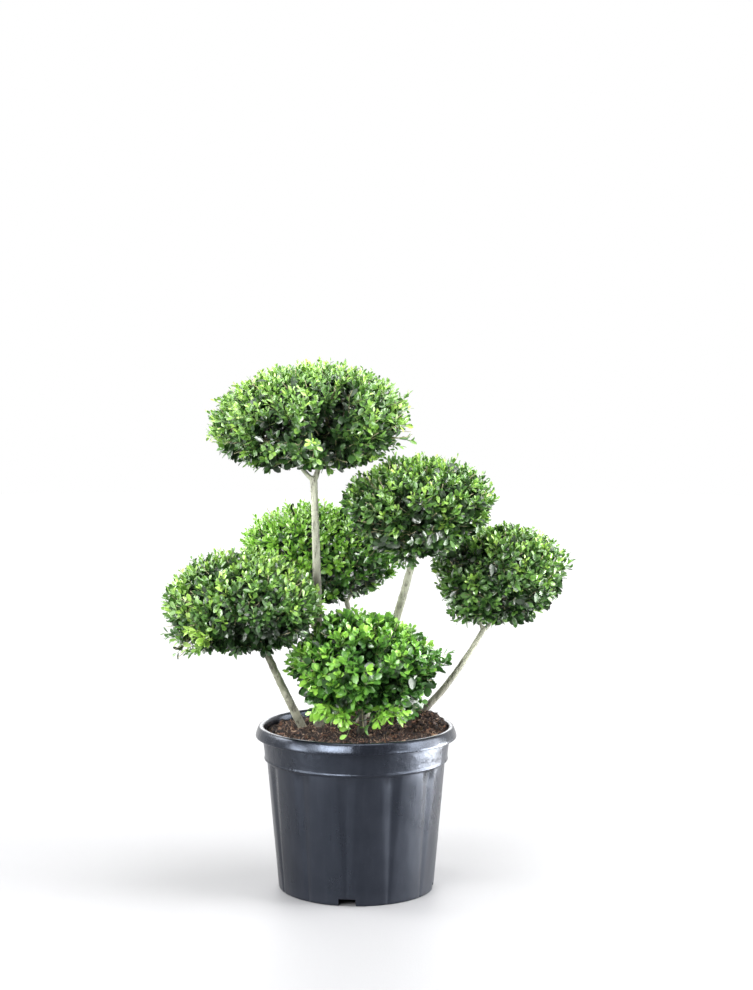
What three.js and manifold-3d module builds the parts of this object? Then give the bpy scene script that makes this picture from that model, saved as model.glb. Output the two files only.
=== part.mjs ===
// A Japanese holly trained as a cloud tree, in a round nursery pot: several stems rise out of one filled pot,
// and each carries one clipped cushion of small leaves. Millimetres, +Z up. The origin is the middle of the
// pot's flat underside, +X is to the right and -Y towards the front.
import * as THREE from "three";
import { mergeVertices } from "three/addons/utils/BufferGeometryUtils.js";
import Module from "manifold-3d";

const wasm = await Module();
wasm.setup();

// The pot: outer radii and heights. Its rim turns down, and a step parts its collar from its fluted body.
const POT_HEIGHT = 288;
const RIM_RADIUS = 180;
const RIM_DROP = 20;
const RIM_THICK = 3;
const LIP_HEIGHT = 284;
const COLLAR_TOP_RADIUS = 167;
const COLLAR_FOOT_RADIUS = 163;
const COLLAR_FOOT_HEIGHT = 226;
const BODY_TOP_RADIUS = 159;
const BODY_TOP_HEIGHT = 222;
const FOOT_RADIUS = 138;
const WALL = 2.6;
const FLOOR = 3.2;

// The flutes end below the body's top. One of them, and one notch of the foot, is a little left of the front.
const FLUTES = 12;
const FLUTE_DEPTH = 2.2;
const FLUTE_END_HEIGHT = 216;
const FLUTE_TURN = THREE.MathUtils.degToRad(-97.4);
const POT_SIDES = 48;
const NOTCHES = 4;
const NOTCH = { length: 26, width: 30, height: 12 };

// The potting soil: its level, how much it rises across the pot, its lumps, its heap and its sunken edge
const SOIL_LEVEL = 281;
const SOIL_RISE = 9;
const SOIL_LUMP = 3.4;
const SOIL_EDGE_DROP = 5;
const SOIL_RINGS = 4;
const HEAP = { at: [124, 61], spread: 41, height: 16 };

// The clearance between pieces that touch, and how deep a stem's foot sits in the soil
const GAP = 0.3;
const SOIL_GAP = 0.45;
const SOIL_SEAT = 14;

// Finer detail than this is closed up: how far a corner stands out of a flat face, and an edge's length
const FLATNESS = 0.01;
const SHORTEST_EDGE = 0.05;

// The stems: foot and tip in space, how far the middle bows away from the straight line, and end radii
const STEMS = {
  stem_top: { foot: [-66, 39], tip: [-76, 10, 731], bow: [2, 3, 0], radii: [9.8, 6.4] },
  stem_upper_right: { foot: [2, 45], tip: [106, -20, 606], bow: [9, 34, 0], radii: [8.4, 6.6] },
  stem_right: { foot: [103, 58], tip: [238, 90, 449], bow: [-2, -5, -18], radii: [7.2, 4.8] },
  stem_back: { foot: [25, 92], tip: [-17, 150, 494], bow: [4, 4, 0], radii: [6.4, 4.5] },
  stem_left: { foot: [-90, 20], tip: [-167, -66, 446], bow: [-2, 2, 0.5], radii: [8.2, 6.0] },
  stem_front: { foot: [6, -50], tip: [12, -64, 326], bow: [1, 0, 0], radii: [8.2, 6.4] },
};
const STEM_SIDES = 8;
const STEM_STEP = 46;
const FLARE = { share: 0.55, height: 13 };
const KNOT = { share: 0.07, close: 0.075, wide: 0.031 };

// The boughs that a stem forks into: where each enters the leaves, and the side it leaves the stem by
const BOUGHS = {
  bough_top_right: { from: "stem_top", tip: [-64, 14, 772], side: 2, radii: [5.2, 4.2] },
  bough_top_left: { from: "stem_top", tip: [-110, 2, 768], side: -3, radii: [4.3, 3.2] },
  bough_right_outer: { from: "stem_right", tip: [259, 92, 476], side: 2, radii: [3.9, 3.1] },
  bough_right_inner: { from: "stem_right", tip: [228, 88, 477], side: -2, radii: [3.3, 2.5] },
  bough_back_left: { from: "stem_back", tip: [-34, 156, 520], side: -2, radii: [3.7, 2.9] },
  bough_back_right: { from: "stem_back", tip: [-4, 153, 518], side: 2, radii: [3.1, 2.4] },
};
const BOUGH_SIDES = 7;
const BOUGH_ROOT = 5;

// The cushions: centre, reach [across, deep, up, down], how round the upper and lower halves are, how far the
// underside tucks in, how far it leans across for each unit of height, the limbs that enter it and its number
// of boughs. A stray is a long shoot that the shears missed: its direction, and how far it stands out.
const CUSHIONS = {
  cushion_top: {
    centre: [-83, 10, 839], reach: [186, 172, 99, 100], round: [1.85, 2.35], tuck: 0.06, lean: 0.11,
    limbs: ["bough_top_right", "bough_top_left"], boughs: 14, strays: [{ towards: [185, -30, -43], by: 12 }],
  },
  cushion_upper_right: {
    centre: [112, -30, 691], reach: [140, 126, 82, 104], round: [2.0, 2.1], tuck: 0.2, lean: 0.1,
    limbs: ["stem_upper_right"], boughs: 9, strays: [],
  },
  cushion_right: {
    centre: [266, 90, 561], reach: [122, 114, 77, 112], round: [2.1, 2.4], tuck: 0.13, lean: 0.07,
    limbs: ["bough_right_outer", "bough_right_inner"], boughs: 8, strays: [],
  },
  cushion_back: {
    centre: [-66, 172, 580], reach: [152, 124, 94, 95], round: [1.9, 2.2], tuck: 0.1, lean: -0.12,
    limbs: ["bough_back_left", "bough_back_right"], boughs: 8, strays: [],
  },
  cushion_left: {
    centre: [-200, -80, 517], reach: [142, 126, 97, 83], round: [1.72, 2.7], tuck: 0.02, lean: -0.06,
    limbs: ["stem_left"], boughs: 9, strays: [{ towards: [-101, -30, -84], by: 18 }],
  },
  cushion_front: {
    centre: [9, -68, 409], reach: [137, 112, 94, 110], round: [1.78, 2.4], tuck: 0.14, lean: -0.07,
    limbs: ["stem_front"], boughs: 8,
    strays: [{ towards: [155, -10, 18], by: 18 }, { towards: [-34, -62, -95], by: 16 }],
  },
};
const OUTLINE_LUMP = 0.035;
const NEIGHBOUR_SPACE = 1.05;
const OWN_SPACE = 1.035;
const STRAY_SPACE = 1.4;
const CLEAR_OF_LIMB = 3;
const CLEAR_OF_SOIL = 4;

// The core of a cushion: how far it lies inside the outline, how finely it is faceted, and its lumps
const SHELL = 34;
const WIDE_CUSHION = 150;
const CORE_DETAIL = { wide: 3, narrow: 2 };
const CORE_LUMP = 0.06;

// The growth of a cushion: where its boughs fan out from, how they fork, and how far its shoots turn aside
const CROWN_DROP = 0.35;
const FORKS = 3;
const FORK_SPREAD = 1.26;
const SWERVE = 0.35;
const SHOOT_DEPTH = 26;
const SHOOT_RADII = [2.6, 2.0];
const NECK_HEIGHT = 6;
const STUB_SIDES = 6;

// The leaves: those on the sides of a shoot, the young one at its end, and how far the side leaves spread
const LEAF = { length: 43, width: 28 };
const YOUNG = { length: 29, width: 18 };
const LEAF_THICK = 2.2;
const LEAF_SPREAD = [0.85, 1.3];

// The first seeds of the generator and of the lumps
const STEM_SEED = 3;
const SOIL_SEED = 9;
const BOUGH_SEED = 12;
const CUSHION_SEED = 21;
const CORE_SEED = 50;
const LEAF_SEED = 107;

const FULL_TURN = 2 * Math.PI;
const GOLDEN_ANGLE = Math.PI * (3 - Math.sqrt(5));
const UP = new THREE.Vector3(0, 0, 1);

const POT_LOOK = { color: 0x33363c, roughness: 0.42, metalness: 0 };
const SOIL_LOOK = { color: 0x4a2f22, roughness: 0.95, metalness: 0 };
const BARK_LOOK = { color: 0x9a8f78, roughness: 0.85, metalness: 0 };
const LEAF_LOOK = { color: 0x55932f, roughness: 0.5, metalness: 0 };

// A small seeded generator: each call gives a number from one limit to the other
function seeded(seed) {
  let state = seed * 2654435761;
  return (low = 0, high = 1) => {
    state = (state + 0x6d2b79f5) | 0;
    let t = Math.imul(state ^ (state >>> 15), 1 | state);
    t = (t + Math.imul(t ^ (t >>> 7), 61 | t)) ^ t;
    return low + ((high - low) * ((t ^ (t >>> 14)) >>> 0)) / 4294967296;
  };
}

// A smooth lumpy value from -1 to 1 over the directions of a ball
function lumpy({ x, y, z }, seed) {
  const wide = Math.sin(3.1 * x + seed) * Math.cos(2.7 * y + 1.7 * seed) + Math.sin(3.7 * z - seed + x);
  const fine = Math.sin(7.3 * y + 2.3 * seed + 2 * z) * Math.cos(6.1 * x - seed);
  return 0.35 * wide + 0.3 * fine;
}

// A direction square to two others, or along X where those two are nearly one
function squareTo(along, other) {
  const side = new THREE.Vector3().crossVectors(along, other);
  return side.length() < 0.05 ? new THREE.Vector3(1, 0, 0) : side.normalize();
}

// A closed geometry as a solid that can be joined and cut
function solidOf(geometry) {
  const bare = geometry.clone();
  bare.deleteAttribute("normal");
  bare.deleteAttribute("uv");
  const merged = mergeVertices(bare, 1e-4);
  const mesh = new wasm.Mesh({
    numProp: 3,
    vertProperties: new Float32Array(merged.attributes.position.array),
    triVerts: new Uint32Array(merged.index.array),
  });
  return new wasm.Manifold(mesh);
}

// The corners of a mesh's triangles, the largest first, once the ends of each very short edge are one point
function tidyTriangles({ vertProperties, triVerts }) {
  const place = (i) => new THREE.Vector3().fromArray(vertProperties, 3 * i);
  const area = (corners) => new THREE.Triangle(...corners.map(place)).getArea();
  const stands = Array.from({ length: vertProperties.length / 3 }, (_, i) => i);
  const joined = (i) => (stands[i] === i ? i : joined(stands[i]));
  triVerts.forEach((corner, i) => {
    const next = triVerts[i % 3 === 2 ? i - 2 : i + 1];
    if (place(corner).distanceTo(place(next)) < SHORTEST_EDGE) stands[joined(corner)] = joined(next);
  });
  const kept = [];
  for (let i = 0; i < triVerts.length; i += 3) {
    const corners = [0, 1, 2].map((k) => joined(triVerts[i + k]));
    if (new Set(corners).size === 3) kept.push(corners);
  }
  return kept.sort((a, b) => area(b) - area(a)).flat();
}

// The largest body of a solid, as a named mesh in its colour
function pieceOf(name, solid, look) {
  const bodies = solid.decompose().sort((a, b) => b.volume() - a.volume());
  const made = bodies[0].simplify(FLATNESS).getMesh();
  const geometry = new THREE.BufferGeometry();
  geometry.setAttribute("position", new THREE.BufferAttribute(made.vertProperties, 3));
  geometry.setIndex(tidyTriangles(made));
  const mesh = new THREE.Mesh(geometry, new THREE.MeshStandardMaterial({ ...look, flatShading: true }));
  mesh.name = name;
  return mesh;
}

// A closed skin, built up from points and from faces that go anticlockwise seen from outside
class Skin {
  points = [];
  faces = [];

  point(place) {
    return this.points.push(place) - 1;
  }

  ring(places) {
    return places.map((place) => this.point(place));
  }

  face(...corners) {
    for (let i = 2; i < corners.length; i++) this.faces.push(corners[0], corners[i - 1], corners[i]);
  }

  // Faces from a point to each side of a loop
  fan(tip, loop) {
    loop.forEach((corner, i) => this.face(tip, corner, loop[(i + 1) % loop.length]));
  }

  // Faces from one ring to the next
  band(lower, upper) {
    lower.forEach((corner, i) => {
      const next = (i + 1) % lower.length;
      this.face(corner, lower[next], upper[next], upper[i]);
    });
  }

  // A flat end: one face on a ring of three, and a fan about the middle of a larger one
  end(ring) {
    if (ring.length === 3) return this.face(...ring);
    const middle = ring.reduce((sum, i) => sum.add(this.points[i]), new THREE.Vector3());
    return this.fan(this.point(middle.divideScalar(ring.length)), ring);
  }

  solid() {
    const geometry = new THREE.BufferGeometry().setFromPoints(this.points);
    geometry.setIndex(this.faces);
    return solidOf(geometry);
  }
}

// A solid through level or tilted rings of points, closed at both ends
function solidThrough(rings) {
  const skin = new Skin();
  const made = rings.map((ring) => skin.ring(ring));
  made.slice(1).forEach((upper, i) => skin.band(made[i], upper));
  skin.end(made[0].toReversed());
  skin.end(made.at(-1));
  return skin.solid();
}

// One level ring of the pot, or of what fills it. Half the corners of each flute are pressed in.
function potRing(radius, z, fluted = false) {
  const perFlute = POT_SIDES / FLUTES;
  const start = FLUTE_TURN - Math.PI / POT_SIDES;
  return Array.from({ length: POT_SIDES }, (_, side) => {
    const pressed = fluted && side % perFlute < perFlute / 2;
    const r = radius - (pressed ? FLUTE_DEPTH : 0);
    const angle = start + (side / POT_SIDES) * FULL_TURN;
    return new THREE.Vector3(r * Math.cos(angle), r * Math.sin(angle), z);
  });
}

// The outer radius of the body and of the collar at a height
const bodyRadius = (z) => THREE.MathUtils.mapLinear(z, 0, BODY_TOP_HEIGHT, FOOT_RADIUS, BODY_TOP_RADIUS);
const collarRadius = (z) =>
  THREE.MathUtils.mapLinear(z, COLLAR_FOOT_HEIGHT, LIP_HEIGHT, COLLAR_FOOT_RADIUS, COLLAR_TOP_RADIUS);

// The pot: a thin fluted wall with a collar, a rim that turns down, a floor, and notches cut in its foot
function pot() {
  const rimFoot = POT_HEIGHT - RIM_DROP;
  const shell = solidThrough([
    potRing(FOOT_RADIUS, 0, true),
    potRing(bodyRadius(FLUTE_END_HEIGHT), FLUTE_END_HEIGHT, true),
    potRing(BODY_TOP_RADIUS, BODY_TOP_HEIGHT),
    potRing(COLLAR_FOOT_RADIUS, COLLAR_FOOT_HEIGHT),
    potRing(COLLAR_TOP_RADIUS, LIP_HEIGHT - RIM_THICK),
    potRing(RIM_RADIUS - RIM_THICK, LIP_HEIGHT - RIM_THICK),
    potRing(RIM_RADIUS - RIM_THICK, rimFoot),
    potRing(RIM_RADIUS, rimFoot),
    potRing(RIM_RADIUS, POT_HEIGHT - RIM_THICK),
    potRing(RIM_RADIUS - RIM_THICK, POT_HEIGHT),
    potRing(COLLAR_TOP_RADIUS, POT_HEIGHT),
    potRing(COLLAR_TOP_RADIUS - WALL, LIP_HEIGHT),
    potRing(COLLAR_FOOT_RADIUS - WALL, COLLAR_FOOT_HEIGHT),
    potRing(BODY_TOP_RADIUS - WALL, BODY_TOP_HEIGHT),
    potRing(bodyRadius(FLUTE_END_HEIGHT) - WALL, FLUTE_END_HEIGHT, true),
    potRing(bodyRadius(FLOOR) - WALL, FLOOR, true),
  ]);
  const notches = Array.from({ length: NOTCHES }, (_, i) => {
    const box = new THREE.BoxGeometry(2 * NOTCH.length, NOTCH.width, 2 * NOTCH.height);
    box.translate(FOOT_RADIUS, 0, 0);
    box.rotateZ(FLUTE_TURN + (i / NOTCHES) * FULL_TURN);
    return solidOf(box);
  });
  return shell.subtract(wasm.Manifold.union(notches));
}

// The height of the soil at a place: it rises to the right, is heaped there, and is rough with lumps
function soilHeight(x, y) {
  const fromHeap = Math.hypot(x - HEAP.at[0], y - HEAP.at[1]) / HEAP.spread;
  const heap = HEAP.height * Math.exp(-(fromHeap ** 2) / 2);
  const lumps = Math.sin(x * 0.11 + 1) * Math.cos(y * 0.13) + Math.sin(x * 0.047 - y * 0.083 + 2);
  return SOIL_LEVEL + (SOIL_RISE * x) / (2 * BODY_TOP_RADIUS) + heap + (SOIL_LUMP * lumps) / 2;
}

// The soil: it fills the pot from its floor, has a lumpy top, and a seat for the foot of each stem
function soil() {
  const inset = WALL + SOIL_GAP;
  const edge = collarRadius(SOIL_LEVEL - SOIL_RISE) - inset;
  const random = seeded(SOIL_SEED);
  const topRing = (_, ring) =>
    potRing(edge * (1 - ring / SOIL_RINGS), 0).map(({ x, y }) => {
      const lift = ring === 0 ? -SOIL_EDGE_DROP : SOIL_LUMP * random(-0.5, 0.5);
      return new THREE.Vector3(x, y, soilHeight(x, y) + lift);
    });
  const filled = solidThrough([
    potRing(bodyRadius(FLOOR) - inset, FLOOR + SOIL_GAP, true),
    potRing(bodyRadius(FLUTE_END_HEIGHT) - inset, FLUTE_END_HEIGHT, true),
    potRing(BODY_TOP_RADIUS - inset, BODY_TOP_HEIGHT, true),
    potRing(COLLAR_FOOT_RADIUS - inset, COLLAR_FOOT_HEIGHT),
    ...Array.from({ length: SOIL_RINGS }, topRing),
  ]);
  const seats = Object.values(stems).map((stem) => stem.grown);
  return filled.subtract(wasm.Manifold.union(seats));
}

// A limb between two points whose middle bows away from the straight line
function makeLimb({ from, to, bow = [0, 0, 0], radii, sides, seed = 0, rooted = false, steps }) {
  const bend = new THREE.Vector3().addVectors(from, to).multiplyScalar(0.5);
  bend.addScaledVector(new THREE.Vector3(...bow), 2);
  const curve = new THREE.QuadraticBezierCurve3(from, bend, to);
  const length = curve.getLength();
  const usualSteps = Math.max(2, Math.round(length / STEM_STEP));
  return { curve, length, radii, sides, seed, rooted, steps: steps ?? usualSteps };
}

// The point and the radius of a limb at a share of its length: it tapers, is slightly knotted, and flares at
// a root
function limbAt(limb, share) {
  const fromFoot = share * limb.length;
  const flare = limb.rooted ? 1 + FLARE.share * Math.exp(-fromFoot / FLARE.height) : 1;
  const knots = Math.sin(fromFoot * KNOT.close + limb.seed) * Math.sin(fromFoot * KNOT.wide + 2 * limb.seed);
  const taper = THREE.MathUtils.lerp(limb.radii[0], limb.radii[1], share);
  return { point: limb.curve.getPoint(share), radius: taper * flare * (1 + KNOT.share * knots) };
}

// A limb as a solid, grown by a clearance where it cuts others. The foot of a rooted one is cut level.
function limbSolid(limb, grow = 0) {
  const shares = Array.from({ length: limb.steps + 1 }, (_, i) => i / limb.steps);
  if (limb.rooted) shares.splice(1, 0, 1 / (3 * limb.steps));
  const across = new THREE.Vector3(1, 0, 0);
  const rings = shares.map((share) => {
    const { point, radius } = limbAt(limb, share);
    const along = limb.curve.getTangent(share);
    if (share === 0) point.addScaledVector(along, -grow);
    if (share === 1) point.addScaledVector(along, grow);
    const normal = share === 0 && limb.rooted ? UP : along;
    across.addScaledVector(normal, -across.dot(normal)).normalize();
    const other = new THREE.Vector3().crossVectors(normal, across);
    return Array.from({ length: limb.sides }, (_, side) => {
      const angle = (side / limb.sides) * FULL_TURN;
      const out = across.clone().multiplyScalar(Math.cos(angle)).addScaledVector(other, Math.sin(angle));
      return out.multiplyScalar(radius + grow).add(point);
    });
  });
  return solidThrough(rings);
}

// A stem, rooted a little below the soil's level
function makeStem({ foot, tip, bow, radii }, seed) {
  const from = new THREE.Vector3(...foot, soilHeight(...foot) - SOIL_SEAT);
  const to = new THREE.Vector3(...tip);
  const limb = makeLimb({ from, to, bow, radii, sides: STEM_SIDES, seed, rooted: true });
  return { ...limb, solid: limbSolid(limb), grown: limbSolid(limb, GAP) };
}

// A bough, which starts inside its stem's tip and is cut clear of the stem and of its sister
function makeBough({ from, tip, side, radii }, seed, sister) {
  const stem = stems[from];
  const start = stem.curve.getPoint(1).addScaledVector(stem.curve.getTangent(1), -BOUGH_ROOT);
  start.x += side;
  const to = new THREE.Vector3(...tip);
  const limb = makeLimb({ from: start, to, bow: [side, 0, -1], radii, sides: BOUGH_SIDES, seed });
  const cutters = sister ? [stem.grown, sister.grown] : [stem.grown];
  const solid = limbSolid(limb).subtract(wasm.Manifold.union(cutters));
  return { ...limb, solid, grown: limbSolid(limb, GAP) };
}

// How far out a point lies in a cushion's space: 0 in its middle and 1 on its clipped outline
function outness(cushion, point) {
  const [across, deep, up, down] = cushion.reach;
  const offset = point.clone().sub(cushion.middle);
  offset.x -= cushion.lean * offset.z;
  const upper = offset.z > 0;
  const level = Math.abs(offset.z) / (upper ? up : down);
  const narrowed = upper ? 1 : 1 - cushion.tuck * Math.min(level, 1);
  const flat = Math.hypot(offset.x / across, offset.y / deep) / narrowed;
  const power = cushion.round[upper ? 0 : 1];
  const plain = (flat ** power + level ** power) ** (1 / power);
  return plain / (1 + OUTLINE_LUMP * lumpy(offset.normalize(), cushion.seed));
}

// The point of a cushion's outline in a direction from its middle, found by halving
function outlinePoint(cushion, direction) {
  const at = (distance) => cushion.middle.clone().addScaledVector(direction, distance);
  let near = 0;
  let far = 2 * Math.max(...cushion.reach);
  while (far - near > 0.01) {
    const middle = (near + far) / 2;
    if (outness(cushion, at(middle)) < 1) near = middle;
    else far = middle;
  }
  return at(near);
}

// Which way the outline faces at a point
function outwards(cushion, point) {
  const slope = (axis) => {
    const [ahead, behind] = [point.clone(), point.clone()];
    ahead[axis] += 2;
    behind[axis] -= 2;
    return outness(cushion, ahead) - outness(cushion, behind);
  };
  return new THREE.Vector3(slope("x"), slope("y"), slope("z")).normalize();
}

// Directions spread evenly over a ball
function evenDirections(count, turn) {
  return Array.from({ length: count }, (_, i) => {
    const z = 1 - (2 * (i + 0.5)) / count;
    const flat = Math.sqrt(1 - z * z);
    const angle = i * GOLDEN_ANGLE + turn;
    return new THREE.Vector3(flat * Math.cos(angle), flat * Math.sin(angle), z);
  });
}

// The dense heart of a cushion: a lumpy faceted ball inside its outline
function coreSolid(cushion) {
  const detail = cushion.reach[0] > WIDE_CUSHION ? CORE_DETAIL.wide : CORE_DETAIL.narrow;
  const ball = new THREE.IcosahedronGeometry(1, detail);
  const random = seeded(cushion.seed + CORE_SEED);
  const moved = new Map();
  const corners = ball.attributes.position;
  for (let i = 0; i < corners.count; i++) {
    const direction = new THREE.Vector3().fromBufferAttribute(corners, i).normalize();
    const key = direction.toArray().map((v) => v.toFixed(3)).join();
    if (!moved.has(key)) {
      const outline = outlinePoint(cushion, direction);
      const point = outline.addScaledVector(outwards(cushion, outline), -SHELL).sub(cushion.middle);
      moved.set(key, point.multiplyScalar(1 + random(-CORE_LUMP, CORE_LUMP)).add(cushion.middle));
    }
    corners.setXYZ(i, ...moved.get(key).toArray());
  }
  return solidOf(ball);
}

// A shoot that ends on the outline, or beyond it by a length. Its side leaves spread below its neck.
function makeShoot(cushion, aim, away, by, random) {
  const crown = cushion.middle.clone().addScaledVector(UP, -CROWN_DROP * cushion.reach[3]);
  const tip = outlinePoint(cushion, aim);
  const face = outwards(cushion, tip);
  const along = new THREE.Vector3().subVectors(tip, crown).normalize().lerp(face, 0.5);
  along.addScaledVector(away, random(0, SWERVE)).normalize();
  const droop = squareTo(along, face).applyAxisAngle(along, random(0, FULL_TURN));
  const blade = along.clone().addScaledVector(droop, random(0, SWERVE)).normalize();
  const youngLength = YOUNG.length * random(0.88, 1.12);
  const neck = tip.addScaledVector(along, by).addScaledVector(blade, -youngLength);
  const space = by > 0 ? STRAY_SPACE : OWN_SPACE;
  return { neck, along, blade, face, youngLength, depth: SHOOT_DEPTH + by, space };
}

// The rule of growth: from a crown at the top of its stem a cushion's boughs fan out to even places, and each
// forks into shoots that end on the outline. All but the outer part of a shoot lies hidden in the core.
function growShoots(cushion) {
  const random = seeded(cushion.seed);
  const shoots = [];
  for (const direction of evenDirections(cushion.boughs, random(0, FULL_TURN))) {
    const side = squareTo(direction, UP);
    const turn = random(0, FULL_TURN);
    for (let fork = 0; fork < FORKS; fork++) {
      const away = side.clone().applyAxisAngle(direction, turn + (fork / FORKS) * FULL_TURN);
      const spread = (FORK_SPREAD / Math.sqrt(cushion.boughs)) * random(0.85, 1.15);
      const aim = direction.clone().addScaledVector(away, spread).normalize();
      shoots.push(makeShoot(cushion, aim, away, 0, random));
    }
  }
  for (const { towards, by } of cushion.strays) {
    const aim = new THREE.Vector3(...towards).normalize();
    shoots.push(makeShoot(cushion, aim, aim, by, random));
  }
  return shoots;
}

// The points of a leaf's blade: its broad middle, its ridge above that, and its narrow or pointed end
function bladePoints({ root, along, across, above, length, width }) {
  const place = (forward, sideways, lift) => {
    const point = root.clone().addScaledVector(along, forward * length);
    return point.addScaledVector(across, sideways * width).addScaledVector(above, lift);
  };
  return {
    right: place(0.52, 0.5, 0),
    left: place(0.52, -0.5, 0),
    ridge: place(0.5, 0, LEAF_THICK),
    endRight: place(0.96, 0.24, 0),
    endLeft: place(0.96, -0.24, 0),
    tip: place(1, 0, 0),
  };
}

// A side leaf grows out of one side of the twig between two rings: it has a flat underside, two thin edges at
// its foot, and an upper face that rises to its ridge
function addSideLeaf(skin, [a, b, c, d], leaf) {
  const [right, left, endRight, endLeft, ridge] = skin.ring([
    leaf.right, leaf.left, leaf.endRight, leaf.endLeft, leaf.ridge,
  ]);
  skin.face(a, b, right, left);
  skin.face(left, right, endRight, endLeft);
  skin.face(d, a, left);
  skin.face(b, c, right);
  skin.fan(ridge, [c, d, left, endLeft, endRight, right]);
}

// A shoot in one skin: a three-sided twig out of the core, a leaf out of each of its sides below the neck,
// and the young leaf that carries it on. A leaf that would leave its space is skipped, and so is the whole
// shoot where its young leaf would.
function shootSolid(cushion, { neck, along, blade, face, youngLength, depth, space }, random) {
  const fits = (...corners) => corners.every((corner) => isFree(cushion, corner, space));
  const across = squareTo(along, face.clone().addScaledVector(UP, 0.5).addScaledVector(along, -0.2));
  across.applyAxisAngle(along, random(-0.8, 0.8));
  const above = new THREE.Vector3().crossVectors(across, along).normalize();
  const outAt = (angle) => above.clone().applyAxisAngle(along, angle);
  const youngSizes = { length: youngLength, width: YOUNG.width };
  const young = bladePoints({ root: neck, along: blade, across, above, ...youngSizes });
  if (!fits(young.right, young.left, young.tip)) return null;

  const skin = new Skin();
  const twigRing = (radius, back) =>
    skin.ring([0, 1, 2].map((corner) => {
      const out = outAt((corner / 3) * FULL_TURN).multiplyScalar(radius);
      return out.add(neck).addScaledVector(along, -back);
    }));
  const foot = twigRing(SHOOT_RADII[0], depth);
  const lower = twigRing(SHOOT_RADII[1], NECK_HEIGHT);
  const upper = twigRing(SHOOT_RADII[1], 0);
  const broad = skin.ring([young.ridge, young.left, young.right]);
  skin.end(foot.toReversed());
  skin.band(foot, lower);
  skin.band(upper, broad);
  skin.fan(skin.point(young.tip), broad);

  for (let side = 0; side < 3; side++) {
    const next = (side + 1) % 3;
    const corners = [lower[side], lower[next], upper[next], upper[side]];
    const angle = ((side + 0.5) / 3) * FULL_TURN;
    const spread = random(...LEAF_SPREAD);
    const size = random(0.86, 1.14);
    const leafAlong = along.clone().multiplyScalar(Math.cos(spread));
    leafAlong.addScaledVector(outAt(angle), Math.sin(spread));
    const leafAcross = outAt(angle + FULL_TURN / 4).applyAxisAngle(leafAlong, random(-0.35, 0.35));
    const leaf = bladePoints({
      root: neck.clone().addScaledVector(along, -NECK_HEIGHT / 2),
      along: leafAlong,
      across: leafAcross,
      above: new THREE.Vector3().crossVectors(leafAlong, leafAcross).normalize(),
      length: LEAF.length * size,
      width: LEAF.width * size,
    });
    if (fits(leaf.right, leaf.left, leaf.endRight, leaf.endLeft)) addSideLeaf(skin, corners, leaf);
    else skin.face(...corners);
  }
  return skin.solid();
}

// Whether a point may be filled: it is in its own cushion's space, and clear of the others, limbs and soil
function isFree(cushion, point, space) {
  if (outness(cushion, point) > space) return false;
  if (point.z < soilHeight(point.x, point.y) + CLEAR_OF_SOIL) return false;
  const others = Object.values(cushions).filter((other) => other !== cushion);
  if (others.some((other) => outness(other, point) < NEIGHBOUR_SPACE)) return false;
  return limbPoints.every((limb) => limb.point.distanceTo(point) > limb.radius + CLEAR_OF_LIMB);
}

// The short stem by which a cushion goes on from the tip of a limb, a clearance away from it
function stubSolid(cushion, limb) {
  const from = limb.curve.getPoint(1).addScaledVector(limb.curve.getTangent(1), GAP);
  const to = cushion.middle.clone().lerp(from, CROWN_DROP);
  const { radius } = limbAt(limb, 1);
  return limbSolid(makeLimb({ from, to, radii: [radius, 0.7 * radius], sides: STUB_SIDES, steps: 1 }));
}

// A cushion: its core, the short stems that meet the limbs below it, its shoots and their leaves
function cushionSolid(cushion) {
  const random = seeded(cushion.seed + LEAF_SEED);
  const stubs = cushion.limbs.map((name) => stubSolid(cushion, limbs[name]));
  const shoots = growShoots(cushion).map((shoot) => shootSolid(cushion, shoot, random));
  const whole = wasm.Manifold.union([coreSolid(cushion), ...stubs, ...shoots.filter(Boolean)]);
  return whole.subtract(wasm.Manifold.union(Object.values(limbs).map((limb) => limb.grown)));
}

const stems = {};
Object.entries(STEMS).forEach(([name, stem], i) => {
  stems[name] = makeStem(stem, STEM_SEED + i);
});
const boughs = {};
Object.entries(BOUGHS).forEach(([name, bough], i) => {
  const sister = Object.keys(boughs).find((made) => BOUGHS[made].from === bough.from);
  boughs[name] = makeBough(bough, BOUGH_SEED + i, boughs[sister]);
});
const limbs = { ...stems, ...boughs };
const limbPoints = Object.values(limbs).flatMap((limb) =>
  Array.from({ length: 40 }, (_, i) => limbAt(limb, i / 39)),
);
const cushions = {};
Object.entries(CUSHIONS).forEach(([name, sizes], i) => {
  cushions[name] = { ...sizes, middle: new THREE.Vector3(...sizes.centre), seed: CUSHION_SEED + i };
});

const plant = new THREE.Group();
plant.add(pieceOf("pot", pot(), POT_LOOK));
plant.add(pieceOf("soil", soil(), SOIL_LOOK));
for (const [name, limb] of Object.entries(limbs)) plant.add(pieceOf(name, limb.solid, BARK_LOOK));
for (const [name, cushion] of Object.entries(cushions)) {
  plant.add(pieceOf(name, cushionSolid(cushion), LEAF_LOOK));
}

export default plant;
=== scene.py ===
"""The looks of a potted Japanese holly, trained as a cloud tree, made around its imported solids.

Metres, +Z up, with the origin in the middle of the pot's underside and -Y towards the front.
"""
import math
from collections import namedtuple

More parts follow.
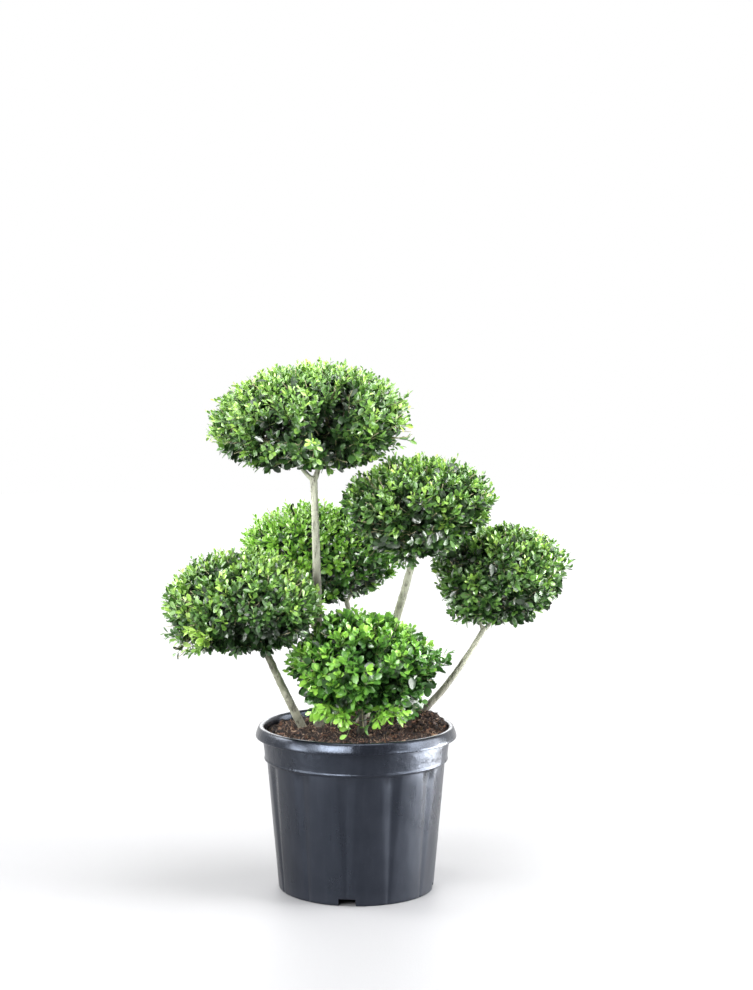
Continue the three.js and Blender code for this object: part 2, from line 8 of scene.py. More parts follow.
import bpy
import numpy as np
from bpy.props import FloatProperty, FloatVectorProperty, IntProperty, PointerProperty, StringProperty
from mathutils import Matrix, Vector


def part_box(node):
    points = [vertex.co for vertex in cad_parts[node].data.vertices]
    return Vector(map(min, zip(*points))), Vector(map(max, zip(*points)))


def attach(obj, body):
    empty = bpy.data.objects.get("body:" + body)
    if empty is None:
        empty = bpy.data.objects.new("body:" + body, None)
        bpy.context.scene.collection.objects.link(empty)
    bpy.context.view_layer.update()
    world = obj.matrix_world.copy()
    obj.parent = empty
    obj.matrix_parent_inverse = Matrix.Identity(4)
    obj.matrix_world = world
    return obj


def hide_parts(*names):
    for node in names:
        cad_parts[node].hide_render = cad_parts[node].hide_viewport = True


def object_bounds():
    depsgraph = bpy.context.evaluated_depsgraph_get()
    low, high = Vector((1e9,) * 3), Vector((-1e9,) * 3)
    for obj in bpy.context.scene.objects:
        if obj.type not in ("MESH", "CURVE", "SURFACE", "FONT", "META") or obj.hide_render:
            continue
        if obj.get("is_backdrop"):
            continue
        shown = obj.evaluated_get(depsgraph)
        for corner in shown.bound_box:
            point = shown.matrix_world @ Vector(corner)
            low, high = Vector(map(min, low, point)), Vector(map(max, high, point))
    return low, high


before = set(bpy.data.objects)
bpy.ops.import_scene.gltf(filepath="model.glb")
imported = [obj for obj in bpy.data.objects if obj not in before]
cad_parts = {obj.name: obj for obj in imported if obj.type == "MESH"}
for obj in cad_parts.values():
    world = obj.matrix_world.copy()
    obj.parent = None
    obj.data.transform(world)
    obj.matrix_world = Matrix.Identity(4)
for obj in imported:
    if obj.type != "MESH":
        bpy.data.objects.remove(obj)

bl_info = {
    "name": "Potted cloud-pruned holly",
    "version": (1, 0, 0),
    "blender": (4, 5, 0),
    "location": "3D View > Sidebar > Holly",
    "description": "Models and dresses a Japanese holly, pruned as a cloud tree, in its nursery pot",
    "category": "Add Mesh",
}

CAD_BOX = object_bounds()
BODY = "root"
FULL_TURN = 2 * math.pi
GOLDEN_ANGLE = math.pi * (3 - math.sqrt(5))
UP = np.array((0.0, 0.0, 1.0))

# The stems: where each stands and ends, how far its middle bows, its radii, and its boughs
Stem = namedtuple("Stem", "foot tip bow radii boughs", defaults=((),))
STEMS = {
    "stem_top": Stem((-0.066, 0.039), (-0.076, 0.010, 0.731), (0.002, 0.003, 0), (0.0098, 0.0064),
                     ("bough_top_right", "bough_top_left")),
    "stem_upper_right": Stem((0.002, 0.045), (0.106, -0.020, 0.606), (0.009, 0.034, 0), (0.0084, 0.0066)),
    "stem_right": Stem((0.103, 0.058), (0.238, 0.090, 0.449), (-0.002, -0.005, -0.018), (0.0072, 0.0048),
                       ("bough_right_outer", "bough_right_inner")),
    "stem_back": Stem((0.025, 0.092), (-0.017, 0.150, 0.494), (0.004, 0.004, 0), (0.0064, 0.0045),
                      ("bough_back_left", "bough_back_right")),
    "stem_left": Stem((-0.090, 0.020), (-0.167, -0.066, 0.446), (-0.002, 0.002, 0.0005), (0.0082, 0.0060)),
    "stem_front": Stem((0.006, -0.050), (0.012, -0.064, 0.326), (0.001, 0, 0), (0.0082, 0.0064)),
}

# The boughs: where each ends, how far aside it leaves the fork, and its radii
BOUGHS = {
    "bough_top_right": ((-0.064, 0.014, 0.772), 0.002, (0.0052, 0.0042)),
    "bough_top_left": ((-0.110, 0.002, 0.768), -0.003, (0.0043, 0.0032)),
    "bough_right_outer": ((0.259, 0.092, 0.476), 0.002, (0.0039, 0.0031)),
    "bough_right_inner": ((0.228, 0.088, 0.477), -0.002, (0.0033, 0.0025)),
    "bough_back_left": ((-0.034, 0.156, 0.520), -0.002, (0.0037, 0.0029)),
    "bough_back_right": ((-0.004, 0.153, 0.518), 0.002, (0.0031, 0.0024)),
}

# How far down inside its stem a bough starts, and how far its middle sags
BOUGH_ROOT = 0.005
BOUGH_SAG = 0.001

# The cushions: centre, reach (across, deep, up, down), roundness (upper, lower), tuck of the underside, lean,
# the limbs that enter them, their number of boughs, and how large, wide and light their leaves are, that
# lightness being painted light. Light and shade patches paint sprays lighter or darker, and hollows draw them
# in
# and darken them with painted shade: direction, width and amount. Strays are long shoots: their direction,
# how far the longest stands out, how much lighter they are, partly as painted light, and their number. Lush
# cushions have deeper green leaves. The hem is the height at which an underside is cut level.
Shape = namedtuple(
    "Shape", "centre reach round tuck lean limbs boughs seed leaf slim light tints hollows strays lush hem",
    defaults=((), False, 0.0),
)
CUSHIONS = {
    "cushion_top": Shape(
        (-0.083, 0.010, 0.839), (0.186, 0.172, 0.099, 0.100), (1.85, 2.35), tuck=0.06, lean=0.11,
        limbs=("bough_top_right", "bough_top_left"), boughs=14, seed=21, leaf=0.90, slim=0.86, light=0.07,
        tints=((-0.7, -0.6, 0.2, 0.6, 0.06),), hem=0.746,
        hollows=(
            (0.376, -0.91, 0.176, 0.16, 0.62), (0.20, -0.97, -0.125, 0.15, 0.62),
            (-0.334, -0.94, -0.05, 0.12, 0.56), (0.40, -0.85, -0.26, 0.13, 0.50),
            (0.05, -0.25, -1.0, 0.24, 0.16),
        ),
        strays=(
            (0.185, -0.030, -0.043, 0.018, 0, 5), (0.014, -0.150, -0.043, 0.002, 0.40, 2),
            (0.006, -0.130, -0.066, 0.002, 0.12, 2),
        ),
    ),
    "cushion_upper_right": Shape(
        (0.112, -0.030, 0.691), (0.140, 0.126, 0.082, 0.104), (2.0, 2.1), tuck=0.2, lean=0.1,
        limbs=("stem_upper_right",), boughs=9, seed=22, leaf=0.92, slim=0.86, light=0.02,
        tints=((-0.7, -0.7, -0.2, 0.5, -0.05), (0.2, -0.8, -0.5, 0.4, 0.06)),
        hollows=((-0.1, -0.95, -0.25, 0.22, 0.16), (0.7, -0.7, -0.5, 0.18, 0.12)),
        strays=((-0.028, -0.010, -0.104, 0.018, -0.05, 6),),
    ),
    "cushion_right": Shape(
        (0.266, 0.090, 0.561), (0.122, 0.114, 0.077, 0.112), (2.1, 2.4), tuck=0.13, lean=0.07,
        limbs=("bough_right_outer", "bough_right_inner"), boughs=8, seed=23, leaf=0.92, slim=0.86, light=0.02,
        tints=((-0.9, -0.4, 0.4, 0.4, -0.15),), hem=0.455,
        hollows=((-0.6, -0.8, 0.3, 0.25, 0.12), (0.5, -0.6, -0.75, 0.35, 0.14)),
        strays=((-0.080, -0.030, -0.095, 0.012, 0.02, 7), (0.118, -0.020, 0.010, 0.010, 0.05, 7)),
    ),
    "cushion_back": Shape(
        (-0.066, 0.172, 0.580), (0.152, 0.124, 0.094, 0.095), (1.9, 2.2), tuck=0.1, lean=-0.12,
        limbs=("bough_back_left", "bough_back_right"), boughs=10, seed=24, leaf=0.86, slim=0.86, light=0.26,
        tints=((-0.75, -0.6, 0.2, 0.7, 0.28), (0.7, -0.5, -0.6, 0.6, -0.20)), lush=True,
        hollows=((0.45, -0.8, -0.5, 0.20, 0.14),),
    ),
    "cushion_left": Shape(
        (-0.200, -0.080, 0.517), (0.142, 0.126, 0.097, 0.083), (1.72, 2.7), tuck=0.02, lean=-0.06,
        limbs=("stem_left",), boughs=9, seed=25, leaf=0.92, slim=0.88, light=0.05,
        tints=(
            (-0.6, -0.7, -0.42, 0.12, 0.60), (0.6, -0.6, -0.5, 0.4, -0.20),
            (0.15, -0.8, -0.5, 0.46, -0.44),
        ),
        hollows=(
            (0.10, -0.85, -0.55, 0.20, 0.30), (-0.30, -0.8, -0.6, 0.14, 0.34),
            (0.5, -0.8, -0.3, 0.13, 0.26), (-0.02, -0.95, -0.22, 0.10, 0.24),
        ),
        strays=(
            (-0.104, -0.030, -0.086, 0.036, 0.02, 5), (-0.130, -0.040, -0.058, 0.020, 0.04, 5),
            (-0.096, -0.060, -0.084, 0.020, 0.15, 5), (-0.073, -0.086, -0.048, 0.004, 0.85, 6),
        ),
    ),
    "cushion_front": Shape(
        (0.009, -0.068, 0.409), (0.137, 0.112, 0.094, 0.110), (1.78, 2.4), tuck=0.14, lean=-0.07,
        limbs=("stem_front",), boughs=8, seed=26, leaf=1.05, slim=1.04, light=0.04, lush=True, hem=0.338,
        tints=(
            (-0.6, -0.8, 0.0, 0.34, 0.16), (0.15, -0.95, 0.05, 0.12, 0.42),
            (0.55, -0.7, 0.35, 0.16, 0.42), (0.75, -0.6, -0.3, 0.45, -0.1), (0.2, -0.8, -0.5, 0.22, 0.02),
            (0.15, -0.5, 0.85, 0.14, 0.36), (-0.85, -0.5, -0.05, 0.15, 0.34),
        ),
        hollows=(
            (0.45, -0.85, -0.2, 0.16, 0.24), (-0.9, -0.25, -0.5, 0.25, 0.14),
            (0.05, -0.9, 0.36, 0.12, 0.34), (0.85, -0.3, -0.6, 0.22, 0.14),
            (0.15, -0.9, -0.45, 0.16, 0.26), (0.3, -0.8, 0.42, 0.11, 0.32),
            (-0.38, -0.85, 0.40, 0.10, 0.30), (-0.5, -0.80, -0.52, 0.12, 0.30),
        ),
        strays=(
            (0.155, -0.010, 0.018, 0.024, 0, 7), (-0.071, -0.048, -0.077, 0.012, 0.54, 5),
            (-0.046, -0.058, -0.076, 0.006, 0.58, 4), (-0.026, -0.058, -0.084, 0.003, 0.55, 2),
            (-0.026, -0.058, -0.112, 0.026, 0.56, 1), (0.002, -0.062, -0.096, 0.010, 0.12, 2),
            (0.023, -0.058, -0.078, 0.005, 0.56, 3), (0.058, -0.054, -0.076, 0.007, 0.56, 4),
            (0.082, -0.045, -0.084, 0.006, 0.20, 2), (0.100, -0.040, -0.075, 0.004, 0.05, 3),
        ),
    ),
}

# How lumpy outlines are, the halvings by which they are found, the step that finds their slope, how far even
# directions follow them, and how fast tints and hollows fade
OUTLINE_LUMP = 0.035
HALVINGS = 18
SLOPE_STEP = 0.002
FOLLOW_REACH = 0.65
FADE = 1.2

# The levels of twigs: how far out from the crown they end, as a share of the way to the outline, their radii,
# sides and tone. The crown lies under the centre, by a share of the cushion's lower reach, and each bough has
# so many forks.
GREEN, TAN, BARK = range(3)
LEVELS = ((0.36, 0.0030, 0.0021, 5, BARK), (0.58, 0.0021, 0.0014, 5, BARK), (0.77, 0.0014, 0.0008, 4, TAN))
CROWN_DROP = 0.52
FORKS = 3

# How far the shoots of a stray stand out, as shares of its longest
STRAY_SHARES = (1.0, 0.85, 0.7, 0.6, 0.5, 0.35, 0.2)

# Shares of the shoots: those that stand out of the outline, those bare to near their tip, and those missing
# from an underside, between clumps and in hollows
RAGGED = 0.13
BARE_SHOOTS = 0.15
BARE_BELOW = 0.55
BARE_CLEFT = 0.38
BARE_HOLLOW = 1.3

# How light sprays are in the middle, and how much lighter for facing up, by drifts, by chance, between clumps
# and in hollows. Facing up is painted light, and between clumps and in hollows is painted shade
MIDDLE_TONE = 0.51
UPPER_LIGHT = 0.11
DRIFT_LIGHT = 0.07
CHANCE_LIGHT = 0.16
CLEFT_LIGHT = -0.22
HOLLOW_LIGHT = -1.1

# How fine the drifts are, and how far their seed is from the cushion's
DRIFT_GRAIN = 2.3
DRIFT_SEED = 5

# How far out leaves may be, where 1 is the outline: in their own cushion, on its strays, and at least in the
# other cushions, where shoots may come closer. Then how clear of limbs and soil they are, how ragged hems
# are, and how far down a shoot its leaves go.
OWN_SPACE = 1.06
STRAY_SPACE = 1.45
NEIGHBOUR_SPACE = 1.0
SHOOT_SPACE = 0.95
CLEAR_OF_LIMB = 0.0015
CLEAR_OF_SOIL = 0.006
HEM_RAGGED = 0.012
SHOOT_RUN = 0.040

# Leaf tones, light to dark: the leaves' own greens, and painted light and shade where sprays face up or lie
# deep
LEAF_TONES = {
    "leaf_lime": (0.430, 0.680, 0.120),
    "leaf_spring": (0.265, 0.490, 0.085),
    "leaf_fresh": (0.172, 0.360, 0.062),
    "leaf_mid": (0.108, 0.250, 0.048),
    "leaf_deep": (0.062, 0.155, 0.034),
    "leaf_dark": (0.029, 0.090, 0.016),
    "leaf_shade": (0.013, 0.041, 0.008),
}
LUSH = (0.84, 1.02, 0.78)
TWIG_TONES = {
    "shoot_green": (0.26, 0.37, 0.11),
    "twig_tan": (0.42, 0.39, 0.23),
    "twig_bark": (0.30, 0.26, 0.18),
}
CHIP_TONES = {
    "chip_black": (0.012, 0.007, 0.006),
    "chip_brown": (0.058, 0.029, 0.019),
    "chip_rust": (0.185, 0.088, 0.052),
    "chip_tan": (0.430, 0.285, 0.195),
}

# How rough leaves, twigs and chips are, the grain and depth of their relief, and how glossy
LEAF_LOOK = (0.34, 1400, 0.00025, 0.60)
TWIG_LOOK = (0.75, 700, 0.0004)
CHIP_LOOK = (0.85, 900, 0.0008)


def size(label, text, default):
    """A length that a user may change."""
    return FloatProperty(name=label, description=text, default=default, min=0, unit="LENGTH", precision=4)


def colour(label, text, default):
    """A colour that a user may change."""
    return FloatVectorProperty(name=label, description=text, default=default, subtype="COLOR", size=3)


def number(label, text, default):
    """How many there are of something, which a user may change."""
    return IntProperty(name=label, description=text, default=default, min=1)


class HollyPot(bpy.types.PropertyGroup):
    """Sizes and colours of the pot."""

    rim_radius: size("Rim radius", "Outer radius of the rim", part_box("pot")[1].x)
    height: size("Height", "From the underside to the top of the rim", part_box("pot")[1].z)
    rim_drop: size("Rim drop", "How far the rim turns down", 0.020)
    collar_top: size("Collar top radius", "Outer radius of the collar under the rim", 0.167)
    collar_foot: size("Collar foot radius", "Outer radius of the collar at its foot", 0.163)
    collar_height: size("Collar height", "Height at which the collar ends", 0.229)
    body_top: size("Body top radius", "Outer radius of the body under the collar", 0.159)
    foot_radius: size("Foot radius", "Outer radius of the underside", 0.138)
    wall: size("Wall", "Thickness of the wall", 0.0026)
    flutes: number("Flutes", "Number of pressed flutes", 12)
    flute_depth: size("Flute depth", "How far the flutes are pressed in at their top", 0.0036)
    flute_spread: FloatProperty(name="Flute spread", description="Half the angle of a flute at its top",
                                default=math.radians(6.7), min=0, subtype="ANGLE")
    notch_width: size("Notch width", "Width of the notches in the foot", 0.030)
    notch_height: size("Notch height", "Height of the notches in the foot", 0.012)
    plastic: colour("Plastic", "Colour of the clean plastic", (0.0058, 0.0066, 0.0098))
    dust: colour("Dust", "Colour of dust and scuffs on the plastic", (0.034, 0.037, 0.048))


class HollySoil(bpy.types.PropertyGroup):
    """Sizes and colours of the potting soil."""

    level: size("Level", "Height of the soil in the middle", 0.281)
    heap_height: size("Heap", "Height of the heap at the right", 0.018)
    lumps: size("Lumps", "Height of the lumps", 0.011)
    chips: number("Chips", "Number of bark chips and fibres", 9000)
    peat: colour("Peat", "Colour of the peat", (0.018, 0.010, 0.007))
    crumb: colour("Crumb", "Colour of drier crumbs", (0.165, 0.086, 0.055))


class HollyBark(bpy.types.PropertyGroup):
    """Sizes and colours of the bark."""

    voxel: size("Grain", "Size of the faces that carry the relief", 0.0013)
    relief: size("Relief", "Depth of the wrinkles", 0.0011)
    pale: colour("Pale bark", "Colour of the raised bark", (0.600, 0.600, 0.460))
    # The grey also serves as painted shade low on the stems
    grey: colour("Grey bark", "Colour of the weathered bark", (0.205, 0.210, 0.155))
    # The crack colour also serves as painted shade on the lower stems
    crack_and_shade: colour("Cracks", "Colour in the cracks, and of the painted shade on lower stems", (0.060, 0.050, 0.036))
    moss: colour("Algae", "Colour of the green film", (0.170, 0.200, 0.090))
    # Painted light: a lighter colour for the upper stems, standing in for the light they catch
    painted_light: colour("Bleached bark", "Lighter colour painted where light falls on the upper stems", (0.900, 0.910, 0.740))


class HollyFoliage(bpy.types.PropertyGroup):
    """Sizes and numbers of the foliage."""

    leaf_length: size("Leaf length", "Length of a grown leaf", 0.0180)
    leaf_width: size("Leaf width", "Width of a grown leaf", 0.0104)
    branchlets: number("Branchlets", "Branchlets on each fork", 5)
    shoots: number("Shoots", "Shoots on each branchlet", 6)
    leaves: number("Leaves", "Leaves on each shoot", 9)
    old_leaves: number("Old leaves", "Inner leaves on each branchlet", 15)


class HollyStage(bpy.types.PropertyGroup):
    """The camera and the floor."""

    camera_distance: size("Camera distance", "From the camera to the middle of the pot", 3.634)
    camera_height: size("Camera height", "Height of the camera over the floor", 0.988)
    camera_side: FloatProperty(name="Camera side", description="Camera offset to the right", default=-0.052,
                               unit="LENGTH")
    lens: FloatProperty(name="Lens", description="Focal length in millimetres", default=73.77)
    floor: colour("Floor", "Colour of the floor", (0.36, 0.36, 0.37))


class Value:
    """What a node gives at one of its outputs. Sums on it become Math nodes."""

    def __init__(self, shading, socket):
        self.shading = shading
        self.socket = socket

    def sum_of(operation, swapped=False):
        """A method that makes one Math node of this value and another."""
        def made(self, other):
            terms = (other, self) if swapped else (self, other)
            return self.shading.value("ShaderNodeMath", {"operation": operation}, dict(enumerate(terms)))
        return made

    __add__ = __radd__ = sum_of("ADD")
    __sub__ = sum_of("SUBTRACT")
    __rsub__ = sum_of("SUBTRACT", swapped=True)
    __mul__ = __rmul__ = sum_of("MULTIPLY")

    def ramp(self, low, high):
        """0 where the value is under low, 1 where it is over high, and smooth between them."""
        settings = {"interpolation_type": "SMOOTHSTEP", "clamp": True}
        return self.shading.value("ShaderNodeMapRange", settings, {0: self, 1: low, 2: high})


class Shading:
    """The nodes of a material or a world."""

    def __init__(self, owner):
        owner.use_nodes = True
        self.nodes = owner.node_tree.nodes
        self.links = owner.node_tree.links

    def node(self, kind, settings, sockets):
        """A node with its settings, then the values or links of its sockets."""
        made = self.nodes.new(kind)
        for key, value in settings.items():
            setattr(made, key, value)
        for key, value in sockets.items():
            self.feed(made.inputs[key], value)
        return made

    def value(self, kind, settings, sockets, output=0):
        """What a new node gives at one of its outputs."""
        return Value(self, self.node(kind, settings, sockets).outputs[output])

    def feed(self, socket, value):
        """Links or sets one socket. Colours are given as three numbers."""
        value = getattr(value, "socket", value)
        if isinstance(value, bpy.types.NodeSocket):
            self.links.new(value, socket)
        else:
            socket.default_value = (*value, 1.0) if socket.type == "RGBA" else value


class Finish(Shading):
    """A procedural material on a Principled shader."""

    def __init__(self, name):
        self.material = bpy.data.materials.new(name)
        super().__init__(self.material)
        self.coordinates = self.node("ShaderNodeTexCoord", {}, {}).outputs["Object"]

    def part(self, axis):
        """One coordinate of the surface: 0, 1 or 2 for X, Y or Z."""
        return self.value("ShaderNodeSeparateXYZ", {}, {0: self.coordinates}, axis)

    def placed(self, stretch, turn=(0, 0, 0)):
        """The surface's coordinates, turned, and squeezed along each axis."""
        sockets = {"Vector": self.coordinates, "Rotation": turn, "Scale": stretch}
        return self.value("ShaderNodeMapping", {}, sockets)

    def noise(self, scale, detail=3, roughness=0.5, stretch=(1, 1, 1), turn=(0, 0, 0)):
        """Smooth noise from 0 to 1."""
        place = self.placed(stretch, turn)
        sockets = {"Vector": place, "Scale": scale, "Detail": detail, "Roughness": roughness}
        return self.value("ShaderNodeTexNoise", {}, sockets)

    def cells(self, scale, stretch=(1, 1, 1)):
        """Distance to the nearest of scattered points."""
        sockets = {"Vector": self.placed(stretch), "Scale": scale}
        return self.value("ShaderNodeTexVoronoi", {}, sockets, "Distance")

    def mix(self, factor, low, high):
        """One colour where the factor is 0 and another where it is 1."""
        return self.value("ShaderNodeMix", {"data_type": "RGBA"}, {0: factor, 6: low, 7: high}, 2)

    def bump(self, height, distance, strength=1.0, below=None):
        """A Bump node on the surface, or on top of another one."""
        sockets = {"Height": height, "Distance": distance, "Strength": strength}
        if below is not None:
            sockets["Normal"] = below
        return self.value("ShaderNodeBump", {}, sockets)

    def wear(self, sockets):
        """Feeds the shader's sockets."""
        for key, value in sockets.items():
            self.feed(self.nodes["Principled BSDF"].inputs[key], value)
        return self.material


def pot_plastic(pot):
    """Moulded blue-black plastic: streaks, scuffs on the collar, dust, more of it at the foot, and a slightly
    wavy gloss.
    """
    finish = Finish("pot_plastic")
    streaks = finish.noise(14, 4, 0.6, (6, 6, 0.5)).ramp(0.42, 0.78)
    clouds = finish.noise(9, 5, 0.6).ramp(0.4, 0.75)
    scuffs = finish.noise(30, 6, 0.75, (1, 1, 14)).ramp(0.60, 0.74)
    specks = finish.noise(420, 2, 0.5).ramp(0.66, 0.72)
    height = finish.part(2)
    collar = height.ramp(pot.collar_height - 0.002, pot.collar_height + 0.004)
    rim = height.ramp(pot.height - pot.rim_drop - 0.002, pot.height - pot.rim_drop)
    foot = 1 - height.ramp(0.002, 0.030)
    dusty = streaks * 0.16 + clouds * 0.18 + scuffs * collar * 0.40 + foot * 0.25 + specks * 0.25
    waves = finish.noise(22, 2, 0.4, (1, 1, 0.45))
    dents = finish.noise(75, 3, 0.55)
    grain = finish.noise(900, 2, 0.6)
    scratches = finish.noise(60, 4, 0.7, (1, 1, 22))
    normal = finish.bump(waves, 0.0034, 0.6)
    normal = finish.bump(dents, 0.0018, (collar - rim) * 0.5 + 0.04, normal)
    normal = finish.bump(grain, 0.00012, 0.5, normal)
    normal = finish.bump(scratches, 0.00016, collar * 0.6 + 0.1, normal)
    return finish.wear({
        "Base Color": finish.mix(dusty, pot.plastic, pot.dust),
        "Roughness": 0.27 + clouds * 0.06 + dusty * 0.20 - rim * 0.06,
        "Specular IOR Level": 0.42,
        "Specular Tint": (0.68, 0.79, 1.0),
        "Normal": normal,
    })


def peat_finish(soil):
    """Damp crumbly peat: dark in its hollows, with drier reddish crumbs."""
    finish = Finish("peat")
    crumbs = finish.noise(260, 5, 0.7)
    patches = finish.noise(30, 4, 0.6).ramp(0.35, 0.7)
    normal = finish.bump(crumbs, 0.004, 0.9)
    normal = finish.bump(finish.cells(300), 0.002, 0.6, normal)
    return finish.wear({
        "Base Color": finish.mix(crumbs.ramp(0.42, 0.7) * (0.35 + patches * 0.65), soil.peat, soil.crumb),
        "Roughness": 0.82 + crumbs * 0.15,
        "Normal": normal,
    })


def plain_finish(name, tint, roughness, grain, depth, gloss=0.0):
    """One even tone whose roughness and fine relief change over the surface."""
    finish = Finish(name)
    fine = finish.noise(grain, 3, 0.6)
    broad = finish.noise(grain / 12, 2, 0.5)
    return finish.wear({
        "Base Color": tint,
        "Roughness": roughness - 0.10 + fine * 0.08 + broad * 0.14,
        "Coat Weight": gloss,
        "Coat Roughness": 0.30,
        "Normal": finish.bump(fine, depth, 0.6),
    })


def bark_finish(bark):
    """Thin bark: pale on its ridges, grey and greenish patches, dark cracks and pores, painted light on the
    upper stems, and painted shade lower down.
    """
    finish = Finish("bark")
    x, y, z = (finish.part(axis) for axis in range(3))
    ridges = finish.noise(150, 6, 0.65, (1, 1, 0.22))
    patches = finish.noise(26, 4, 0.6, (1, 1, 0.6))
    film = finish.noise(17, 3, 0.55, (1, 1, 0.5), (0.4, 0.2, 0.9)).ramp(0.5, 0.72)
    pores = 1 - finish.cells(230, (1, 1, 2.4)).ramp(0.10, 0.26)
    cracks = 1 - ridges.ramp(0.34, 0.50)
    # Painted shade: the right stem's lower part, the front stem under its cushion and the top stem's lower
    # part are darkened where the cushions shade them
    painted_shade_right = x.ramp(0.100, 0.125) * (1 - z.ramp(0.335, 0.385))
    painted_shade_front = (1 - y.ramp(-0.045, -0.030)) * (1 - z.ramp(0.300, 0.345))
    painted_shade_top = x.ramp(-0.086, -0.080) * (1 - x.ramp(-0.052, -0.045)) * (1 - z.ramp(0.530, 0.585))
    base = finish.mix(patches.ramp(0.40, 0.64), bark.pale, bark.grey)
    layers = (
        (film * 0.6, bark.moss),
        # Painted light: the upper stems are lightened where more light falls on them
        (z.ramp(0.46, 0.62) * (0.9 - patches * 0.5), bark.painted_light),
        # Painted shade on the right stem's lower part
        (painted_shade_right * (0.4 + patches * 0.6), bark.crack_and_shade),
        # Painted shade: every stem turns greyer and darker below the cushions
        ((1 - z.ramp(0.40, 0.52)) * 0.22, bark.grey),
        # Painted shade on the front stem and on the lower part of the top stem
        ((painted_shade_front + painted_shade_top) * (0.55 + patches * 0.4), bark.crack_and_shade),
        (cracks * 0.75, bark.crack_and_shade),
        (pores * 0.5, bark.crack_and_shade),
    )
    for share, tint in layers:
        base = finish.mix(share, base, tint)
    normal = finish.bump(ridges, 0.0022, 0.8)
    normal = finish.bump(finish.noise(700, 3, 0.6), 0.0005, 0.5, normal)
    return finish.wear({"Base Color": base, "Roughness": 0.72 + patches * 0.2, "Normal": normal})


def toned_finishes(tones, look, ending="", tinge=(1, 1, 1)):
    """A plain finish for each tone, made once and then shared. A tinge changes the tones' colours."""
    made = []
    for name, tint in tones.items():
        name += ending
        tint = [part * share for part, share in zip(tint, tinge)]
        made.append(bpy.data.materials.get(name) or plain_finish(name, tint, *look))
    return made


def leaf_finishes(lush):
    """A glossy finish for each tone of leaf. Lush leaves are a deeper and purer green."""
    return toned_finishes(LEAF_TONES, LEAF_LOOK, *(("_lush", LUSH) if lush else ()))


def unit(vectors):
    """Vectors made one long."""
    return vectors / np.maximum(np.linalg.norm(vectors, axis=-1, keepdims=True), 1e-9)


def square_to(vectors, other):
    """Unit vectors at right angles to these ones, turned towards another where they can be."""
    other = np.broadcast_to(other, vectors.shape)
    aside = other - (other * vectors).sum(-1, keepdims=True) * vectors
    flat = np.linalg.norm(aside, axis=-1, keepdims=True) < 1e-3
    spare = np.cross(vectors, (0.31, 0.92, 0.24))
    return unit(np.where(flat, spare, aside))


def bezier(start, bend, end, steps):
    """Points along curves, each from its start to its end and drawn towards its bend."""
    share = np.linspace(0, 1, steps + 1)[None, :, None]
    rest = 1 - share
    return rest ** 2 * start[:, None] + 2 * share * rest * bend[:, None] + share ** 2 * end[:, None]


def limb_curve(name):
    """Start, bend, end and radii of a stem or bough, by the rule that the solids follow."""
    if name in STEMS:
        foot, tip, bow, radii, _ = STEMS[name]
        start = np.array((*foot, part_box(name)[0].z))
        aside = np.array(bow)
    else:
        tip, side, radii = BOUGHS[name]
        _, bend, fork, _ = limb_curve(next(stem for stem in STEMS if name in STEMS[stem].boughs))
        start = fork - BOUGH_ROOT * unit(fork - bend) + (side, 0, 0)
        aside = np.array((side, 0, -BOUGH_SAG))
    end = np.array(tip)
    return start, (start + end) / 2 + 2 * aside, end, radii


def limb_points(name, steps):
    """Points along a limb and its radius at each."""
    start, bend, end, radii = limb_curve(name)
    return bezier(start[None], bend[None], end[None], steps)[0], np.linspace(*radii, steps + 1)


def soil_height(points):
    """About how high the soil lies under points: it rises to the right, where it is heaped."""
    soil = bpy.context.scene.holly_soil
    slope, heap_x, heap_y, heap_width = 0.028, 0.124, 0.061, 0.041
    heap = np.hypot(points[..., 0] - heap_x, points[..., 1] - heap_y) / heap_width
    return soil.level + slope * points[..., 0] + soil.heap_height * np.exp(-(heap ** 2) / 2)


def lumpy(directions, seed):
    """Smooth lumps from -1 to 1 over directions, as the solids have them."""
    x, y, z = np.moveaxis(directions, -1, 0)
    wide = np.sin(3.1 * x + seed) * np.cos(2.7 * y + 1.7 * seed) + np.sin(3.7 * z - seed + x)
    fine = np.sin(7.3 * y + 2.3 * seed + 2 * z) * np.cos(6.1 * x - seed)
    return 0.35 * wide + 0.3 * fine


def outness(cushion, points):
    """How far out points lie in a cushion's space: 0 in its middle and 1 on its clipped outline."""
    across, deep, high, low = cushion.reach
    offset = points - cushion.centre
    sideways = offset[..., 0] - cushion.lean * offset[..., 2]
    upper = offset[..., 2] > 0
    level = np.abs(offset[..., 2]) / np.where(upper, high, low)
    narrowed = np.where(upper, 1, 1 - cushion.tuck * np.minimum(level, 1))
    flat = np.hypot(sideways / across, offset[..., 1] / deep) / narrowed
    power = np.where(upper, *cushion.round)
    plain = (flat ** power + level ** power) ** (1 / power)
    tilted = np.stack((sideways, offset[..., 1], offset[..., 2]), axis=-1)
    return plain / (1 + OUTLINE_LUMP * lumpy(unit(tilted), cushion.seed))


def outline_points(cushion, directions):
    """Points of a cushion's outline in directions from its centre, found by halving."""
    near = np.zeros(len(directions))
    far = np.full(len(directions), 2 * max(cushion.reach))
    for _ in range(HALVINGS):
        middle = (near + far) / 2
        inside = outness(cushion, cushion.centre + directions * middle[:, None]) < 1
        near = np.where(inside, middle, near)
        far = np.where(inside, far, middle)
    return cushion.centre + directions * near[:, None]


def outwards(cushion, points):
    """Which way the outline faces at points."""
    steps = np.eye(3) * SLOPE_STEP
    slopes = [outness(cushion, points + step) - outness(cushion, points - step) for step in steps]
    return unit(np.stack(slopes, axis=-1))


